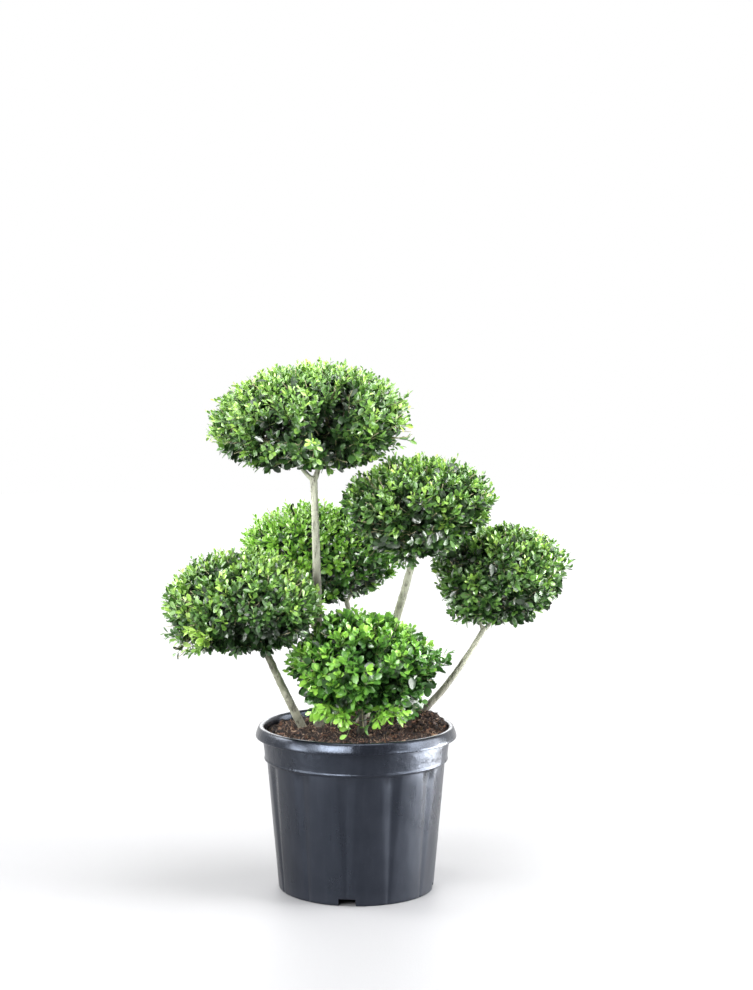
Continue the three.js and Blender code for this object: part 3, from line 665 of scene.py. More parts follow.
def even_directions(cushion, count, jitter, random):
    """Directions spread evenly over a cushion's outline, and then moved a little."""
    index = np.arange(count)
    z = 1 - 2 * (index + 0.5) / count
    flat = np.sqrt(1 - z * z)
    angle = index * GOLDEN_ANGLE + random.uniform(0, FULL_TURN)
    ball = np.stack((flat * np.cos(angle), flat * np.sin(angle), z), axis=-1)
    across, deep, high, low = cushion.reach
    ball *= np.array((across, deep, (high + low) / 2)) ** FOLLOW_REACH
    return unit(unit(ball) + random.normal(0, jitter / math.sqrt(count), ball.shape))


def nearest(directions, parents):
    """Which parent lies closest to each direction."""
    return np.argmax(directions @ parents.T, axis=1)


def border(directions, parents, width):
    """How near directions lie to the border between the two closest parents: 1 on it and 0 far from it."""
    closeness = np.sort(directions @ parents.T, axis=1)[:, -2:]
    angles = np.arccos(np.clip(closeness, -1, 1))
    return np.exp(-((angles[:, 0] - angles[:, 1]) / width) ** 2)


def near_place(directions, places):
    """The sum of what each place gives to the directions round it."""
    total = np.zeros(len(directions))
    for *towards, width, amount in places:
        apart = 1 - directions @ unit(np.array(towards))
        total += amount * np.exp(-(apart / (width * width)) * FADE)
    return total


def tube_arrays(paths, radii, sides):
    """Corners and triangles of tapering tubes, each closed to a point at its end."""
    count, rings = radii.shape
    along = unit(np.gradient(paths, axis=1))
    across = square_to(along, square_to(unit(paths[:, -1:] - paths[:, :1]), UP))
    other = np.cross(along, across)
    angle = np.arange(sides) / sides * FULL_TURN
    out = np.cos(angle)[:, None] * across[:, :, None] + np.sin(angle)[:, None] * other[:, :, None]
    corners = (paths[:, :, None] + radii[:, :, None, None] * out).reshape(count, -1, 3)
    tips = paths[:, -1:] + along[:, -1:] * radii[:, -1:, None]
    corners = np.concatenate((corners, tips), axis=1)
    faces = []
    for ring in range(rings - 1):
        for side in range(sides):
            a = ring * sides + side
            b = ring * sides + (side + 1) % sides
            faces += [(a, b, b + sides), (a, b + sides, a + sides)]
    last = (rings - 1) * sides
    faces += [(last + side, last + (side + 1) % sides, rings * sides) for side in range(sides)]
    return joined(corners, np.array(faces))


def joined(corners, faces):
    """The corners of copies in one row, and the triangles of them all."""
    triangles = faces[None] + np.arange(len(corners))[:, None, None] * corners.shape[1]
    return corners.reshape(-1, 3), triangles.reshape(-1, 3)


# Leaves, each field with one entry for every leaf
Leaves = namedtuple("Leaves", "base axis face length width fold curl tone stray")

# A leaf: how far along its widths are, its half widths there as shares of its width, and one half's triangles
LEAF_STATIONS = ((0.26, 0.33), (0.56, 0.50), (0.84, 0.37))
LEAF_FACES = ((0, 5, 1), (1, 5, 6), (1, 6, 2), (2, 6, 7), (2, 7, 3), (3, 7, 4))


def leaf_template():
    """Points (along, across, fold) of a leaf one long and one wide, and its triangles."""
    ridge = [(u, 0, 0) for u in (0, *(u for u, _ in LEAF_STATIONS), 1)]
    left = [(u, half, half) for u, half in LEAF_STATIONS]
    right = [(u, -half, half) for u, half in LEAF_STATIONS]
    other_half = [[corner + 3 if corner > 4 else corner for corner in face[::-1]] for face in LEAF_FACES]
    return np.array(ridge + left + right), np.array([*LEAF_FACES, *other_half])


def leaf_arrays(leaves):
    """Corners and triangles of leaves."""
    shape, faces = leaf_template()
    u, v, folded = shape.T[:, None, :, None]
    axis, face = leaves.axis[:, None], leaves.face[:, None]
    sizes = (leaves.length, leaves.width, leaves.fold, leaves.curl)
    length, width, fold, curl = (made[:, None, None] for made in sizes)
    lift = folded * width * fold - u ** 2 * length * curl
    corners = leaves.base[:, None] + axis * length * u + np.cross(face, axis) * width * v + face * lift
    return joined(corners, faces)


def add_mesh(name, corners, triangles, slots, materials):
    """A joined mesh from arrays, with the material slot of each triangle."""
    mesh = bpy.data.meshes.new(name)
    mesh.vertices.add(len(corners))
    mesh.vertices.foreach_set("co", np.asarray(corners, np.float32).ravel())
    mesh.loops.add(triangles.size)
    mesh.loops.foreach_set("vertex_index", triangles.astype(np.int32).ravel())
    mesh.polygons.add(len(triangles))
    mesh.polygons.foreach_set("loop_start", np.arange(0, triangles.size, 3, dtype=np.int32))
    for material in materials:
        mesh.materials.append(material)
    mesh.polygons.foreach_set("material_index", np.asarray(slots, np.int32))
    mesh.polygons.foreach_set("use_smooth", np.ones(len(triangles), bool))
    mesh.update(calc_edges=True)
    piece = bpy.data.objects.new(name, mesh)
    bpy.context.scene.collection.objects.link(piece)
    return piece


def place(piece, slot, *nodes):
    """Rides a finished piece on the plant's body, and lets it stand for its CAD nodes."""
    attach(piece, BODY)
    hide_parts(*nodes)


def join(parts):
    """Joins pieces into the first of them."""
    alone()
    for part in parts:
        part.select_set(True)
    bpy.context.view_layer.objects.active = parts[0]
    bpy.ops.object.join()
    return parts[0]


def alone():
    """Leaves edit mode and deselects everything."""
    if bpy.context.object and bpy.context.object.mode != "OBJECT":
        bpy.ops.object.mode_set(mode="OBJECT")
    bpy.ops.object.select_all(action="DESELECT")


def apply_modifier(piece, kind, **settings):
    """Adds a modifier and applies it."""
    modifier = piece.modifiers.new(kind.title(), kind)
    for key, value in settings.items():
        setattr(modifier, key, value)
    bpy.context.view_layer.objects.active = piece
    bpy.ops.object.modifier_apply(modifier=modifier.name)


def cloud_relief(piece, name, grain, depth, detail=2, **settings):
    """Moves a surface in and out by soft lumps of one grain."""
    texture = bpy.data.textures.new(name, "CLOUDS")
    texture.noise_scale = grain
    texture.noise_depth = detail
    apply_modifier(piece, "DISPLACE", texture=texture, strength=depth, texture_coords="LOCAL", **settings)


def turned_shell(name, sides, start, rings, turn=0.0):
    """A disc whose edge is drawn on through rings of given radii and heights, left in edit mode."""
    alone()
    radius, height = start
    bpy.ops.mesh.primitive_circle_add(
        vertices=sides, radius=radius, fill_type="NGON", location=(0, 0, height), rotation=(0, 0, turn)
    )
    piece = bpy.context.object
    piece.name = name
    bpy.ops.object.transform_apply(location=True, rotation=True, scale=True)
    bpy.ops.object.mode_set(mode="EDIT")
    bpy.ops.mesh.select_mode(type="VERT")
    bpy.ops.mesh.select_all(action="SELECT")
    bpy.ops.mesh.region_to_loop()
    for next_radius, next_height in rings:
        bpy.ops.mesh.extrude_region_move(TRANSFORM_OT_translate={"value": (0, 0, next_height - height)})
        grow = next_radius / radius
        bpy.ops.transform.resize(value=(grow, grow, 1), center_override=(0, 0, next_height))
        radius, height = next_radius, next_height
    return piece


# The pot's sides, before its flutes, notches and rounded edges
POT_SIDES = 240
# The raised middle of the underside, radius and height, and the height of the floor inside
POT_HOLLOW = (0.118, 0.013)
INNER_FLOOR = 0.0162
# Flutes: how far they are turned, the height at which they end, how wide they are at the foot as a share
# of their top, and how many columns of faces each half takes
FLUTE_TURN = math.radians(-97.4)
FLUTE_END = 0.2225
FLUTE_FOOT = 0.28
FLUTE_COLUMNS = 4
NOTCHES = 4
NOTCH_DEPTH = 0.052
EDGE_ROUND = 0.0006
SHARP_EDGE = math.radians(50)
SMOOTH_EDGE = math.radians(40)
# The ledge at the collar's foot: how far each ring lies out from it, and over it
LEDGE = (
    (-0.0002, -0.0014), (0.0010, -0.0006), (0.0014, 0.0006), (0.0012, 0.0020), (0.0005, 0.0030),
    (0.0005, 0.0044), (0.0010, 0.012),
)
# The roll of the rim's outer face: how far each ring lies back from the edge, and over the lower edge
ROLL = (
    (0.0003, 0.0040), (0.0013, 0.0074), (0.0026, 0.0112), (0.0039, 0.0146), (0.0052, 0.0172),
    (0.0070, 0.0189), (0.0094, 0.0198),
)


def pot_rings(pot):
    """Radii and heights of the rings, from the hollow underside to the floor inside."""
    rim, top, foot, wall = pot.rim_radius, pot.height, pot.foot_radius, pot.wall
    body, ledge, neck, collar = pot.body_top, pot.collar_foot, pot.collar_top, pot.collar_height
    drop = top - pot.rim_drop
    slope = (body - foot) / FLUTE_END
    rings = [(POT_HOLLOW[0] + 0.004, 0), (foot - 0.0020, 0), (foot - 0.0006, 0.0006), (foot, 0.0020)]
    rings += [(foot + slope * z, z) for z in np.linspace(0.006, FLUTE_END, 15)]
    rings += [(body, collar - 0.0045), (body + 0.0004, collar - 0.0022)]
    rings += [(ledge + out, collar + rise) for out, rise in LEDGE]
    rings += [(neck, drop - 0.004), (neck, top - 0.0064), (rim - 0.0036, top - 0.0070)]
    rings += [(rim - 0.0036, drop + 0.0006), (rim - 0.0028, drop), (rim - 0.0010, drop)]
    rings += [(rim - 0.0002, drop + 0.0007), (rim, drop + 0.0022)]
    rings += [(rim - back, drop + rise) for back, rise in ROLL]
    rings += [(neck + 0.0010, top - 0.0006), (neck - 0.0012, top - 0.0022), (neck - wall, top - 0.006)]
    rings += [(ledge - wall, collar), (body - wall - 0.0012, collar - 0.004)]
    return [*rings, (foot - wall, INNER_FLOOR)]


def press_flutes(corners, pot):
    """Presses the flutes in: grooves with two flat sides, wide at their top and narrow at the foot."""
    step = FULL_TURN / pot.flutes
    even = FLUTE_COLUMNS * FULL_TURN / POT_SIDES
    for corner in corners:
        radius = math.hypot(corner.co.x, corner.co.y)
        level = corner.co.z / FLUTE_END
        if not 0.001 < level < 1.001 or radius < pot.foot_radius - 0.5 * pot.wall:
            continue
        angle = math.atan2(corner.co.y, corner.co.x) - FLUTE_TURN
        whole = round(angle / step) * step
        off = abs(angle - whole)
        half = pot.flute_spread * (FLUTE_FOOT + (1 - FLUTE_FOOT) * level)
        if off < even:
            moved = off * half / even
            radius -= pot.flute_depth * half / pot.flute_spread * (1 - off / even)
        else:
            moved = half + (off - even) * (step / 2 - half) / (step / 2 - even)
        angle = FLUTE_TURN + whole + math.copysign(moved, angle - whole)
        corner.co.x = radius * math.cos(angle)
        corner.co.y = radius * math.sin(angle)


def cut_notches(piece, pot):
    """Cuts the drain notches through the foot ring."""
    cutters = []
    for index in range(NOTCHES):
        angle = FLUTE_TURN + index / NOTCHES * FULL_TURN
        middle = (pot.foot_radius * math.cos(angle), pot.foot_radius * math.sin(angle), 0)
        bpy.ops.mesh.primitive_cube_add(size=1, location=middle, rotation=(0, 0, angle))
        bpy.context.object.scale = (NOTCH_DEPTH, pot.notch_width, 2 * pot.notch_height)
        cutters.append(bpy.context.object)
    cutter = join(cutters)
    apply_modifier(piece, "BOOLEAN", operation="DIFFERENCE", object=cutter, solver="EXACT")
    bpy.data.objects.remove(cutter)
    alone()
    piece.select_set(True)


class HOLLY_OT_pot(bpy.types.Operator):
    """Draw the fluted nursery pot up from its underside, round its rim and down inside"""

    bl_idname = "holly.pot"
    bl_label = "Pot"

    def execute(self, context):
        pot = context.scene.holly_pot
        piece = turned_shell("pot_shell", POT_SIDES, POT_HOLLOW, pot_rings(pot), FLUTE_TURN)
        bpy.ops.mesh.edge_face_add()
        bpy.ops.mesh.select_all(action="SELECT")
        bpy.ops.mesh.normals_make_consistent(inside=False)
        bpy.ops.object.mode_set(mode="OBJECT")
        press_flutes(piece.data.vertices, pot)
        cut_notches(piece, pot)
        apply_modifier(
            piece, "BEVEL", width=EDGE_ROUND, segments=2,
            limit_method="ANGLE", angle_limit=SHARP_EDGE,
        )
        bpy.ops.object.shade_smooth_by_angle(angle=SMOOTH_EDGE)
        piece.data.materials.append(pot_plastic(pot))
        place(piece, "pot_plastic", "pot")
        return {"FINISHED"}


# The soil's sides and rings, the radius of its top and the height of its floor
SOIL_SIDES = 320
SOIL_RINGS = 78
SOIL_EDGE = 0.1642
SOIL_FLOOR = 0.018
# How far the top sinks at its edge, which is also about how wide the slope is there
EDGE_DROP = 0.006
STREWN = 0.158
# The share of fibres among the chips, the least and added length of both, and how wide and thick they are
FIBRES = 0.42
FIBRE_LENGTH = (0.005, 0.014)
FIBRE_WIDTH = 0.0006
FIBRE_THICKNESS = 0.0004
CHIP_LENGTH = (0.0014, 0.0095)
CHIP_WIDTH = (0.30, 0.75)
CHIP_THICKNESS = (0.25, 0.6)
MOSTLY_SHORT = 1.8
# How far chips are raised, as a share of their thickness, and how much they tilt
RAISED = 0.3
TILT = 0.35
# By chance from 0 to 1: where each next tone of chip starts, and from where fibres are tan
TONES_FROM = (0.40, 0.76, 0.95)
TAN_FIBRES_FROM = 0.66
# The relief of the top: name, grain, and depth as a share of the lumps
SOIL_RELIEF = (("clods", 0.030, 1.5), ("lumps", 0.011, 1.2), ("crumbs", 0.0042, 0.8))


def fill_pot(soil, pot):
    """The body of the soil: sides inside the pot, and a heaped and lumpy top."""
    rings = [(pot.body_top - pot.wall - 0.0030, pot.collar_height - 0.006), (SOIL_EDGE - 0.0045, 0.240)]
    rings += [(SOIL_EDGE - 0.0009, soil.level - 0.008)]
    rings += [(SOIL_EDGE * (1 - ring / SOIL_RINGS), soil.level) for ring in range(SOIL_RINGS)]
    start = (pot.foot_radius - pot.wall - 0.0006, SOIL_FLOOR)
    piece = turned_shell("soil_filling", SOIL_SIDES, start, rings)
    bpy.ops.mesh.merge(type="CENTER")
    bpy.ops.object.mode_set(mode="OBJECT")
    raise_top(piece.data.vertices, soil)
    top = [corner.index for corner in piece.data.vertices if corner.co.z > soil.level - 0.006]
    piece.vertex_groups.new(name="top").add(top, 1.0, "REPLACE")
    for name, grain, share in SOIL_RELIEF:
        depth = share * soil.lumps
        cloud_relief(piece, name, grain, depth, 3, mid_level=0.55, direction="Z", vertex_group="top")
    bpy.ops.object.shade_smooth()
    piece.data.materials.append(peat_finish(soil))
    place(piece, "potting_soil", "soil")
    return piece


def raise_top(corners, soil):
    """Tilts the top up to the right, heaps it there, and sinks its edge."""
    for corner in corners:
        if corner.co.z < soil.level - 0.001:
            continue
        spot = np.array(corner.co)
        from_edge = SOIL_EDGE - math.hypot(spot[0], spot[1])
        corner.co.z = soil_height(spot) - EDGE_DROP * math.exp(-from_edge / EDGE_DROP)


# A chip: its sections along its length, the width of its ends, how rough its corners are and how it bends
CHIP_SECTIONS = (-1, 0.1, 1)
CHIP_END = 0.45
CHIP_ROUGH = 0.16
CHIP_BEND = 0.10


def chip_arrays(middle, along, up, length, width, thick, random):
    """Corners and triangles of chips: boxes whose ends are narrower and whose corners are pushed about."""
    across = np.cross(up, along)
    box = np.array([(x, y, z) for x in CHIP_SECTIONS for y in (-1, 1) for z in (-1, 1)], float)
    box[:, 1] *= np.where(np.abs(box[:, 0]) == 1, CHIP_END, 1.0)
    shape = box[None] + random.normal(0, CHIP_ROUGH, (len(middle), len(box), 3))
    shape[:, 4:8, 1] += random.normal(0, CHIP_BEND, (len(middle), 1)) * (length / width)[:, None]
    corners = middle[:, None] + along[:, None] * shape[..., :1] * length[:, None, None] / 2
    corners = corners + across[:, None] * shape[..., 1:2] * width[:, None, None] / 2
    corners = corners + up[:, None] * shape[..., 2:] * thick[:, None, None] / 2
    sides = ((0, 1), (1, 3), (3, 2), (2, 0))
    quads = [(ring + a, ring + b, ring + b + 4, ring + a + 4) for ring in (0, 4) for a, b in sides]
    quads += [(0, 2, 3, 1), (8, 9, 11, 10)]
    faces = [triangle for a, b, c, d in quads for triangle in ((a, b, c), (a, c, d))]
    return joined(corners, np.array(faces))


def strew_chips(surface, soil):
    """Bark chips, crumbs and fibres: flat and long pieces of a few faces, strewn on the surface."""
    random = np.random.default_rng(7)
    count = soil.chips
    radius = STREWN * np.sqrt(random.uniform(0, 1, count))
    angle = random.uniform(0, FULL_TURN, count)
    spots = np.stack((radius * np.cos(angle), radius * np.sin(angle)), axis=-1)
    hits = [surface.ray_cast(Vector((x, y, 0.5)), Vector((0, 0, -1))) for x, y in spots]
    middle = np.column_stack((spots, [hit[1].z for hit in hits]))
    up = unit(np.array([tuple(hit[2]) for hit in hits]) + random.normal(0, TILT, (count, 3)))
    along = square_to(up, random.normal(0, 1, (count, 3)))
    fibre = random.uniform(0, 1, count) < FIBRES
    small = random.uniform(0, 1, count) ** MOSTLY_SHORT
    least, added = (np.where(fibre, *pair) for pair in zip(FIBRE_LENGTH, CHIP_LENGTH))
    length = least + added * small
    width = np.where(fibre, FIBRE_WIDTH, length * random.uniform(*CHIP_WIDTH, count))
    thick = np.where(fibre, FIBRE_THICKNESS, width * random.uniform(*CHIP_THICKNESS, count))
    middle = middle + up * thick[:, None] * RAISED
    corners, triangles = chip_arrays(middle, along, up, length, width, thick, random)
    odds = random.uniform(0, 1, count)
    tone = np.searchsorted(TONES_FROM, odds, side="right")
    tone[fibre & (odds > TAN_FIBRES_FROM)] = len(TONES_FROM)
    slots = np.repeat(tone, len(triangles) // count)
    materials = toned_finishes(CHIP_TONES, CHIP_LOOK)
    piece = add_mesh("soil_chips", corners, triangles, slots, materials)
    piece.data.shade_flat()
    place(piece, "potting_soil", "soil")


class HOLLY_OT_soil(bpy.types.Operator):
    """Fill the pot with lumpy soil, and strew bark chips and fibres over it"""

    bl_idname = "holly.soil"
    bl_label = "Soil"

    def execute(self, context):
        soil = context.scene.holly_soil
        strew_chips(fill_pot(soil, context.scene.holly_pot), soil)
        return {"FINISHED"}


# The root flare: its height, and its radii as shares of the stem's
FLARE = 0.026
FLARE_RADII = (1.15, 0.9)
# The relief of the bark: name, grain, and depth as a share of the wrinkles
BARK_RELIEF = (("swellings", 0.020, 1.2), ("wrinkles", 0.0052, 1.0), ("pimples", 0.0022, 0.5))
# Knots: where on a stem of so many steps they may start and how far they move. Then, as shares of the
# stem's radius, how far out they lie and how large they are, and how long they are for their width
KNOT_PLACES = 20
KNOT_STEPS = range(5, 19, 4)
KNOT_MOVES = 3
KNOT_OUT = 0.52
KNOT_SIZE = (0.52, 0.66)
KNOT_LENGTH = 1.5


def stem_skin(names, bark, index):
    """The limbs, the flare and some knots, joined under one skin with relief."""
    parts = [limb_skin(name) for name in names]
    piece = join([*parts, root_flare(names[0]), *pruning_knots(names[0], index)])
    apply_modifier(piece, "REMESH", mode="VOXEL", voxel_size=bark.voxel, adaptivity=0.0)
    apply_modifier(piece, "SMOOTH", factor=0.5, iterations=5)
    for name, grain, share in BARK_RELIEF:
        cloud_relief(piece, name, grain, share * bark.relief)
    bpy.ops.object.shade_smooth()
    return piece


def limb_skin(name):
    """A bevelled curve along one limb, turned into a mesh."""
    alone()
    start, bend, end, radii = limb_curve(name)
    bpy.ops.curve.primitive_bezier_curve_add()
    limb = bpy.context.object
    limb.name = name + "_skin"
    points = limb.data.splines[0].bezier_points
    for point, spot, radius in zip(points, (start, end), radii):
        point.handle_left_type = "FREE"
        point.handle_right_type = "FREE"
        point.co = spot
        handle = 2 / 3 * (bend - spot) * (-1 if spot is end else 1)
        point.handle_left = spot - handle
        point.handle_right = spot + handle
        point.radius = radius
    limb.data.dimensions = "3D"
    limb.data.bevel_depth = 1.0
    limb.data.bevel_resolution = 6
    limb.data.resolution_u = 40
    limb.data.use_fill_caps = True
    bpy.ops.object.convert(target="MESH")
    return bpy.context.object


def root_flare(name):
    """The cone by which a stem widens into the soil."""
    start, bend, _, radii = limb_curve(name)
    lean = Vector(bend - start).to_track_quat("Z", "Y")
    middle = Vector(start) + lean @ Vector((0, 0, FLARE / 2))
    foot, top = (share * radii[0] for share in FLARE_RADII)
    bpy.ops.mesh.primitive_cone_add(
        vertices=24, radius1=foot, radius2=top, depth=FLARE,
        location=middle, rotation=lean.to_euler(),
    )
    return bpy.context.object


def pruning_knots(name, index):
    """Healed pruning wounds: low swellings on a stem's side."""
    random = np.random.default_rng(40 + index)
    points, radii = limb_points(name, KNOT_PLACES)
    for step in KNOT_STEPS:
        step += random.integers(0, KNOT_MOVES)
        along = unit(points[step] - points[step - 1])
        aside = square_to(along, random.normal(0, 1, 3))
        spot = points[step] + aside * radii[step] * KNOT_OUT
        scale = radii[step] * random.uniform(*KNOT_SIZE)
        bpy.ops.mesh.primitive_uv_sphere_add(segments=16, ring_count=10, radius=1, location=spot)
        bpy.context.object.rotation_euler = Vector(along).to_track_quat("Z", "Y").to_euler()
        bpy.context.object.scale = (scale, scale, scale * KNOT_LENGTH)
        bpy.ops.object.transform_apply(location=True, rotation=True, scale=True)
        yield bpy.context.object


class HOLLY_OT_stems(bpy.types.Operator):
    """Model each stem with its boughs and root flare in one skin, with the bark's relief"""

    bl_idname = "holly.stems"
    bl_label = "Stems and boughs"

    def execute(self, context):
        bark = context.scene.holly_bark
        material = bark_finish(bark)
        for index, (name, stem) in enumerate(STEMS.items()):
            piece = stem_skin((name, *stem.boughs), bark, index)
            piece.name = name.replace("stem", "bark")
            piece.data.materials.clear()
            piece.data.materials.append(material)
            place(piece, "bark", name, *stem.boughs)
        return {"FINISHED"}


# Steps along each twig and shoot, and how far their even directions are moved by chance
TWIG_STEPS = 4
TWIG_JITTER = 0.35
SHOOT_JITTER = 0.55
# Twigs: how their reach and middles vary, and how far they keep to their parent's heading
REACH_VARIES = 0.05
WANDER = 0.07
HEADING = 0.16
# The clefts between the clumps of boughs, and between those of forks: how deep and how wide
CLEFTS = ((0.5, 0.12), (0.6, 0.09))
# The stem from a limb to the crown: its steps and sides, how far it starts inside the limb and keeps on,
# and how thick it is at both ends, first as a share of the limb
LIMB_STEPS = 6
LIMB_SIDES = 8
INSIDE = 0.004
ONWARDS = 0.012
OVERLAP = 1.04
CROWN_RADIUS = 0.0032
# Shoots: how far ragged ones stand out, how clipping varies, what clefts cut, and the last leaf's room
STAND_OUT = (0.002, 0.011)
CLIPPING = (0.045, 0.012)
CLEFT_CUT = 0.10
LEAF_ROOM = 0.003
# Sprays this much lighter are sunlit: they stand less upright, and none is bare
SUNLIT = 0.2
# How much a shoot's tip leans out, up when it is sunlit or not, and straight on, and how this varies
LEAN_OUT = 0.45
LEAN_UP = (0.05, 0.28)
LEAN_ON = 0.6
LEAN_VARIES = 0.22
# How thick shoots are, with leaves and bare, and the share that is left at their tips
LEAFY_RADIUS = 0.0008
BARE_RADIUS = 0.0011
TAPER = 0.55
# Undersides miss shoots from this tilt on. Facing down by as much as the next, shoots are bare more often, by
# so many times, and so are those in hollows, by a share. Facing up makes leaves smaller, which also vary.
UNDERSIDE_FROM = 0.1
FACING_DOWN = -0.35
BARE_DOWN = 2
BARE_IN_HOLLOW = 0.5
UPPER_SMALLER = 0.16
BULK_VARIES = (0.90, 1.10)
# Leaves from a shoot's tip down: how much of a short shoot they take, how they crowd at its tip, how far the
# first and the next ones spread, how large and how light they are, and the ranks that bare shoots keep
MOST_RUN = 1.2
CROWDING = 1.15
BUD_SPREAD = (0.05, 0.5)
SPREAD = (0.58, 0.52)
YOUNG_SIZE = (0.62, 0.9)
TIP_LIGHT = 0.17
FOOT_SHADE = 0.38
BARE_RANKS = 4
# How much the spread, turn, size and tone of these leaves vary
SPREAD_VARIES = 0.18
TURN_VARIES = 0.3
SIZE_VARIES = (0.82, 1.16)
TONE_VARIES = 0.075
# Older leaves: how far out along a branchlet they sit, their spread, their size, their tone and its gain;
# their dark tone is painted shade inside the cushion. Then how far off the branchlet they may be, how much
# their tone varies, and their share of the painted light and shade.
OLD_PLACES = (0.15, 1.15)
OLD_SPREAD = (0.7, 1.5)
OLD_SIZE = (1.0, 1.4)
OLD_TONE = (-0.07, 0.14)
OLD_OFF = 0.006
OLD_VARIES = 0.07
OLD_TINT = 0.5
# All leaves: the nudge by which ways across an upright shoot are found, how far from their shoot they start,
# how they turn up to the light and about, and their shapes
NUDGE = 0.01
STALK = 0.0012
LEAF_LIFT = 0.14
LEAF_FACING = 0.45
LEAF_ROLL = 0.30
LEAF_WIDTHS = (0.88, 1.14)
LEAF_FOLDS = (0.10, 0.42)
LEAF_CURLS = (-0.04, 0.20)
# How closely leaves are kept clear of a limb: at this many steps along it
BEADS = 39


class Cushion:
    """The growth of one cushion, from the tips of its limbs to its last leaves."""

    def __init__(self, name, foliage):
        self.name = name
        self.shape = CUSHIONS[name]
        self.foliage = foliage
        self.random = np.random.default_rng(self.shape.seed)
        self.crown = np.array(self.shape.centre) - UP * CROWN_DROP * self.shape.reach[3]
        self.clumps = []
        self.tubes = []
        self.leaves = []

    def lift(self, points):
        """Points raised to the cushion's underside where they hang lower."""
        lowest = self.shape.hem + self.random.uniform(0, HEM_RAGGED, len(points))
        return np.column_stack((points[:, :2], np.maximum(points[:, 2], lowest)))

    def draw_in(self, aims):
        """How far twigs reach in these directions: less where the cushion has a hollow."""
        return 1 - near_place(aims, self.shape.hollows)

    def grow(self):
        """Boughs fan out from the crown, and each level of finer twigs grows on from the one before."""
        parents = UP[None]
        starts = self.crown[None]
        heading = np.zeros((1, 3))
        total = 1
        for count, level in zip((self.shape.boughs, FORKS, self.foliage.branchlets), LEVELS):
            total *= count
            aims = even_directions(self.shape, total, TWIG_JITTER, self.random)
            parent = nearest(aims, parents)
            share = level[0] * (1 + self.random.normal(0, REACH_VARIES, total)) * self.draw_in(aims)
            edge = outline_points(self.shape, aims)
            ends = self.lift(self.crown + (edge - self.crown) * share[:, None])
            self.add_twigs(starts[parent], heading[parent], ends, *level[1:])
            if level is LEVELS[-1]:
                self.add_old_leaves(starts[parent], ends, aims)
            heading = unit(ends - starts[parent])
            self.clumps.append(aims)
            parents, starts = aims, ends
        self.add_shoots(parents, starts)
        self.reach_limbs()

    def add_twigs(self, starts, heading, ends, thick, thin, sides, slot):
        """Twigs that leave along their parent's heading and bend towards their own end."""
        length = np.linalg.norm(ends - starts, axis=1, keepdims=True)
        bend = (starts + ends) / 2 + heading * length * HEADING
        bend += self.random.normal(0, WANDER, starts.shape) * length
        paths = bezier(starts, bend, ends, TWIG_STEPS)
        radii = np.broadcast_to(np.linspace(thick, thin, TWIG_STEPS + 1), paths.shape[:2])
        self.tubes.append((paths, radii, sides, slot))

    def reach_limbs(self):
        """From the tip of each limb a stem goes on to the crown."""
        for name in self.shape.limbs:
            _, bend, end, radii = limb_curve(name)
            along = unit(end - bend)
            start = end - along * INSIDE
            middle = (start + self.crown) / 2 + along * ONWARDS
            paths = bezier(start[None], middle[None], self.crown[None], LIMB_STEPS)
            sizes = np.linspace(radii[1] * OVERLAP, CROWN_RADIUS, LIMB_STEPS + 1)[None]
            self.tubes.append((paths, sizes, LIMB_SIDES, BARK))

    def add_shoots(self, parents, starts):
        """Shoots end at the clipped outline, with a few strays beyond it, and carry the leaves."""
        random = self.random
        count = len(parents) * self.foliage.shoots
        aims = even_directions(self.shape, count, SHOOT_JITTER, random)
        ragged = random.uniform(0, 1, count) < RAGGED
        beyond = np.where(ragged, random.uniform(*STAND_OUT, count), 0)
        lighter, stray = self.set_strays(aims, beyond)
        edge = outline_points(self.shape, aims)
        face = outwards(self.shape, edge)
        cleft = sum(deep * border(aims, clump, wide) for clump, (deep, wide) in zip(self.clumps, CLEFTS))
        hollow = near_place(aims, self.shape.hollows)
        missing = BARE_BELOW * np.clip(-face[:, 2] - UNDERSIDE_FROM, 0, 1)
        missing = missing + BARE_CLEFT * cleft + BARE_HOLLOW * hollow
        keep = (random.uniform(0, 1, count) > missing) | stray
        short, vary = (random.normal(0, amount, count) for amount in CLIPPING)
        cut = 1 - np.abs(short) + vary - CLEFT_CUT * cleft
        drawn = np.where(stray, 1, np.minimum(cut, 1.0) * self.draw_in(aims))
        tips = self.crown + (edge - self.crown) * drawn[:, None]
        tips += np.where(stray[:, None], aims, unit(edge - self.crown)) * (beyond - LEAF_ROOM)[:, None]
        tips = np.where(stray[:, None], tips, self.lift(tips))
        keep &= self.is_free(tips, SHOOT_SPACE)
        root = starts[nearest(aims, parents)]
        kept = (root, aims, face, tips, beyond, lighter, cleft, hollow)
        self.draw_shoots(*(made[keep] for made in kept))

    def draw_shoots(self, root, aims, face, tips, beyond, lighter, cleft, hollow):
        """Draws the shoots that are kept, some of them bare, and gives them their leaves."""
        random = self.random
        count = len(aims)
        upright = np.where(lighter > SUNLIT, *LEAN_UP)
        lean = face * LEAN_OUT + UP * upright[:, None] + unit(tips - root) * LEAN_ON
        along = unit(lean + random.normal(0, LEAN_VARIES, lean.shape))
        length = np.linalg.norm(tips - root, axis=1, keepdims=True)
        paths = bezier(root, tips - along * length * 0.5, tips, TWIG_STEPS)
        often = BARE_SHOOTS * (1 + BARE_DOWN * (face[:, 2] < FACING_DOWN)) + BARE_IN_HOLLOW * hollow
        bare = (random.uniform(0, 1, count) < often) & (lighter < SUNLIT)
        taper = np.linspace(1, TAPER, TWIG_STEPS + 1)
        thick = np.where(bare, BARE_RADIUS, LEAFY_RADIUS)[:, None] * taper
        for kind, slot in ((bare, TAN), (~bare, GREEN)):
            self.tubes.append((paths[kind], thick[kind], 3, slot))
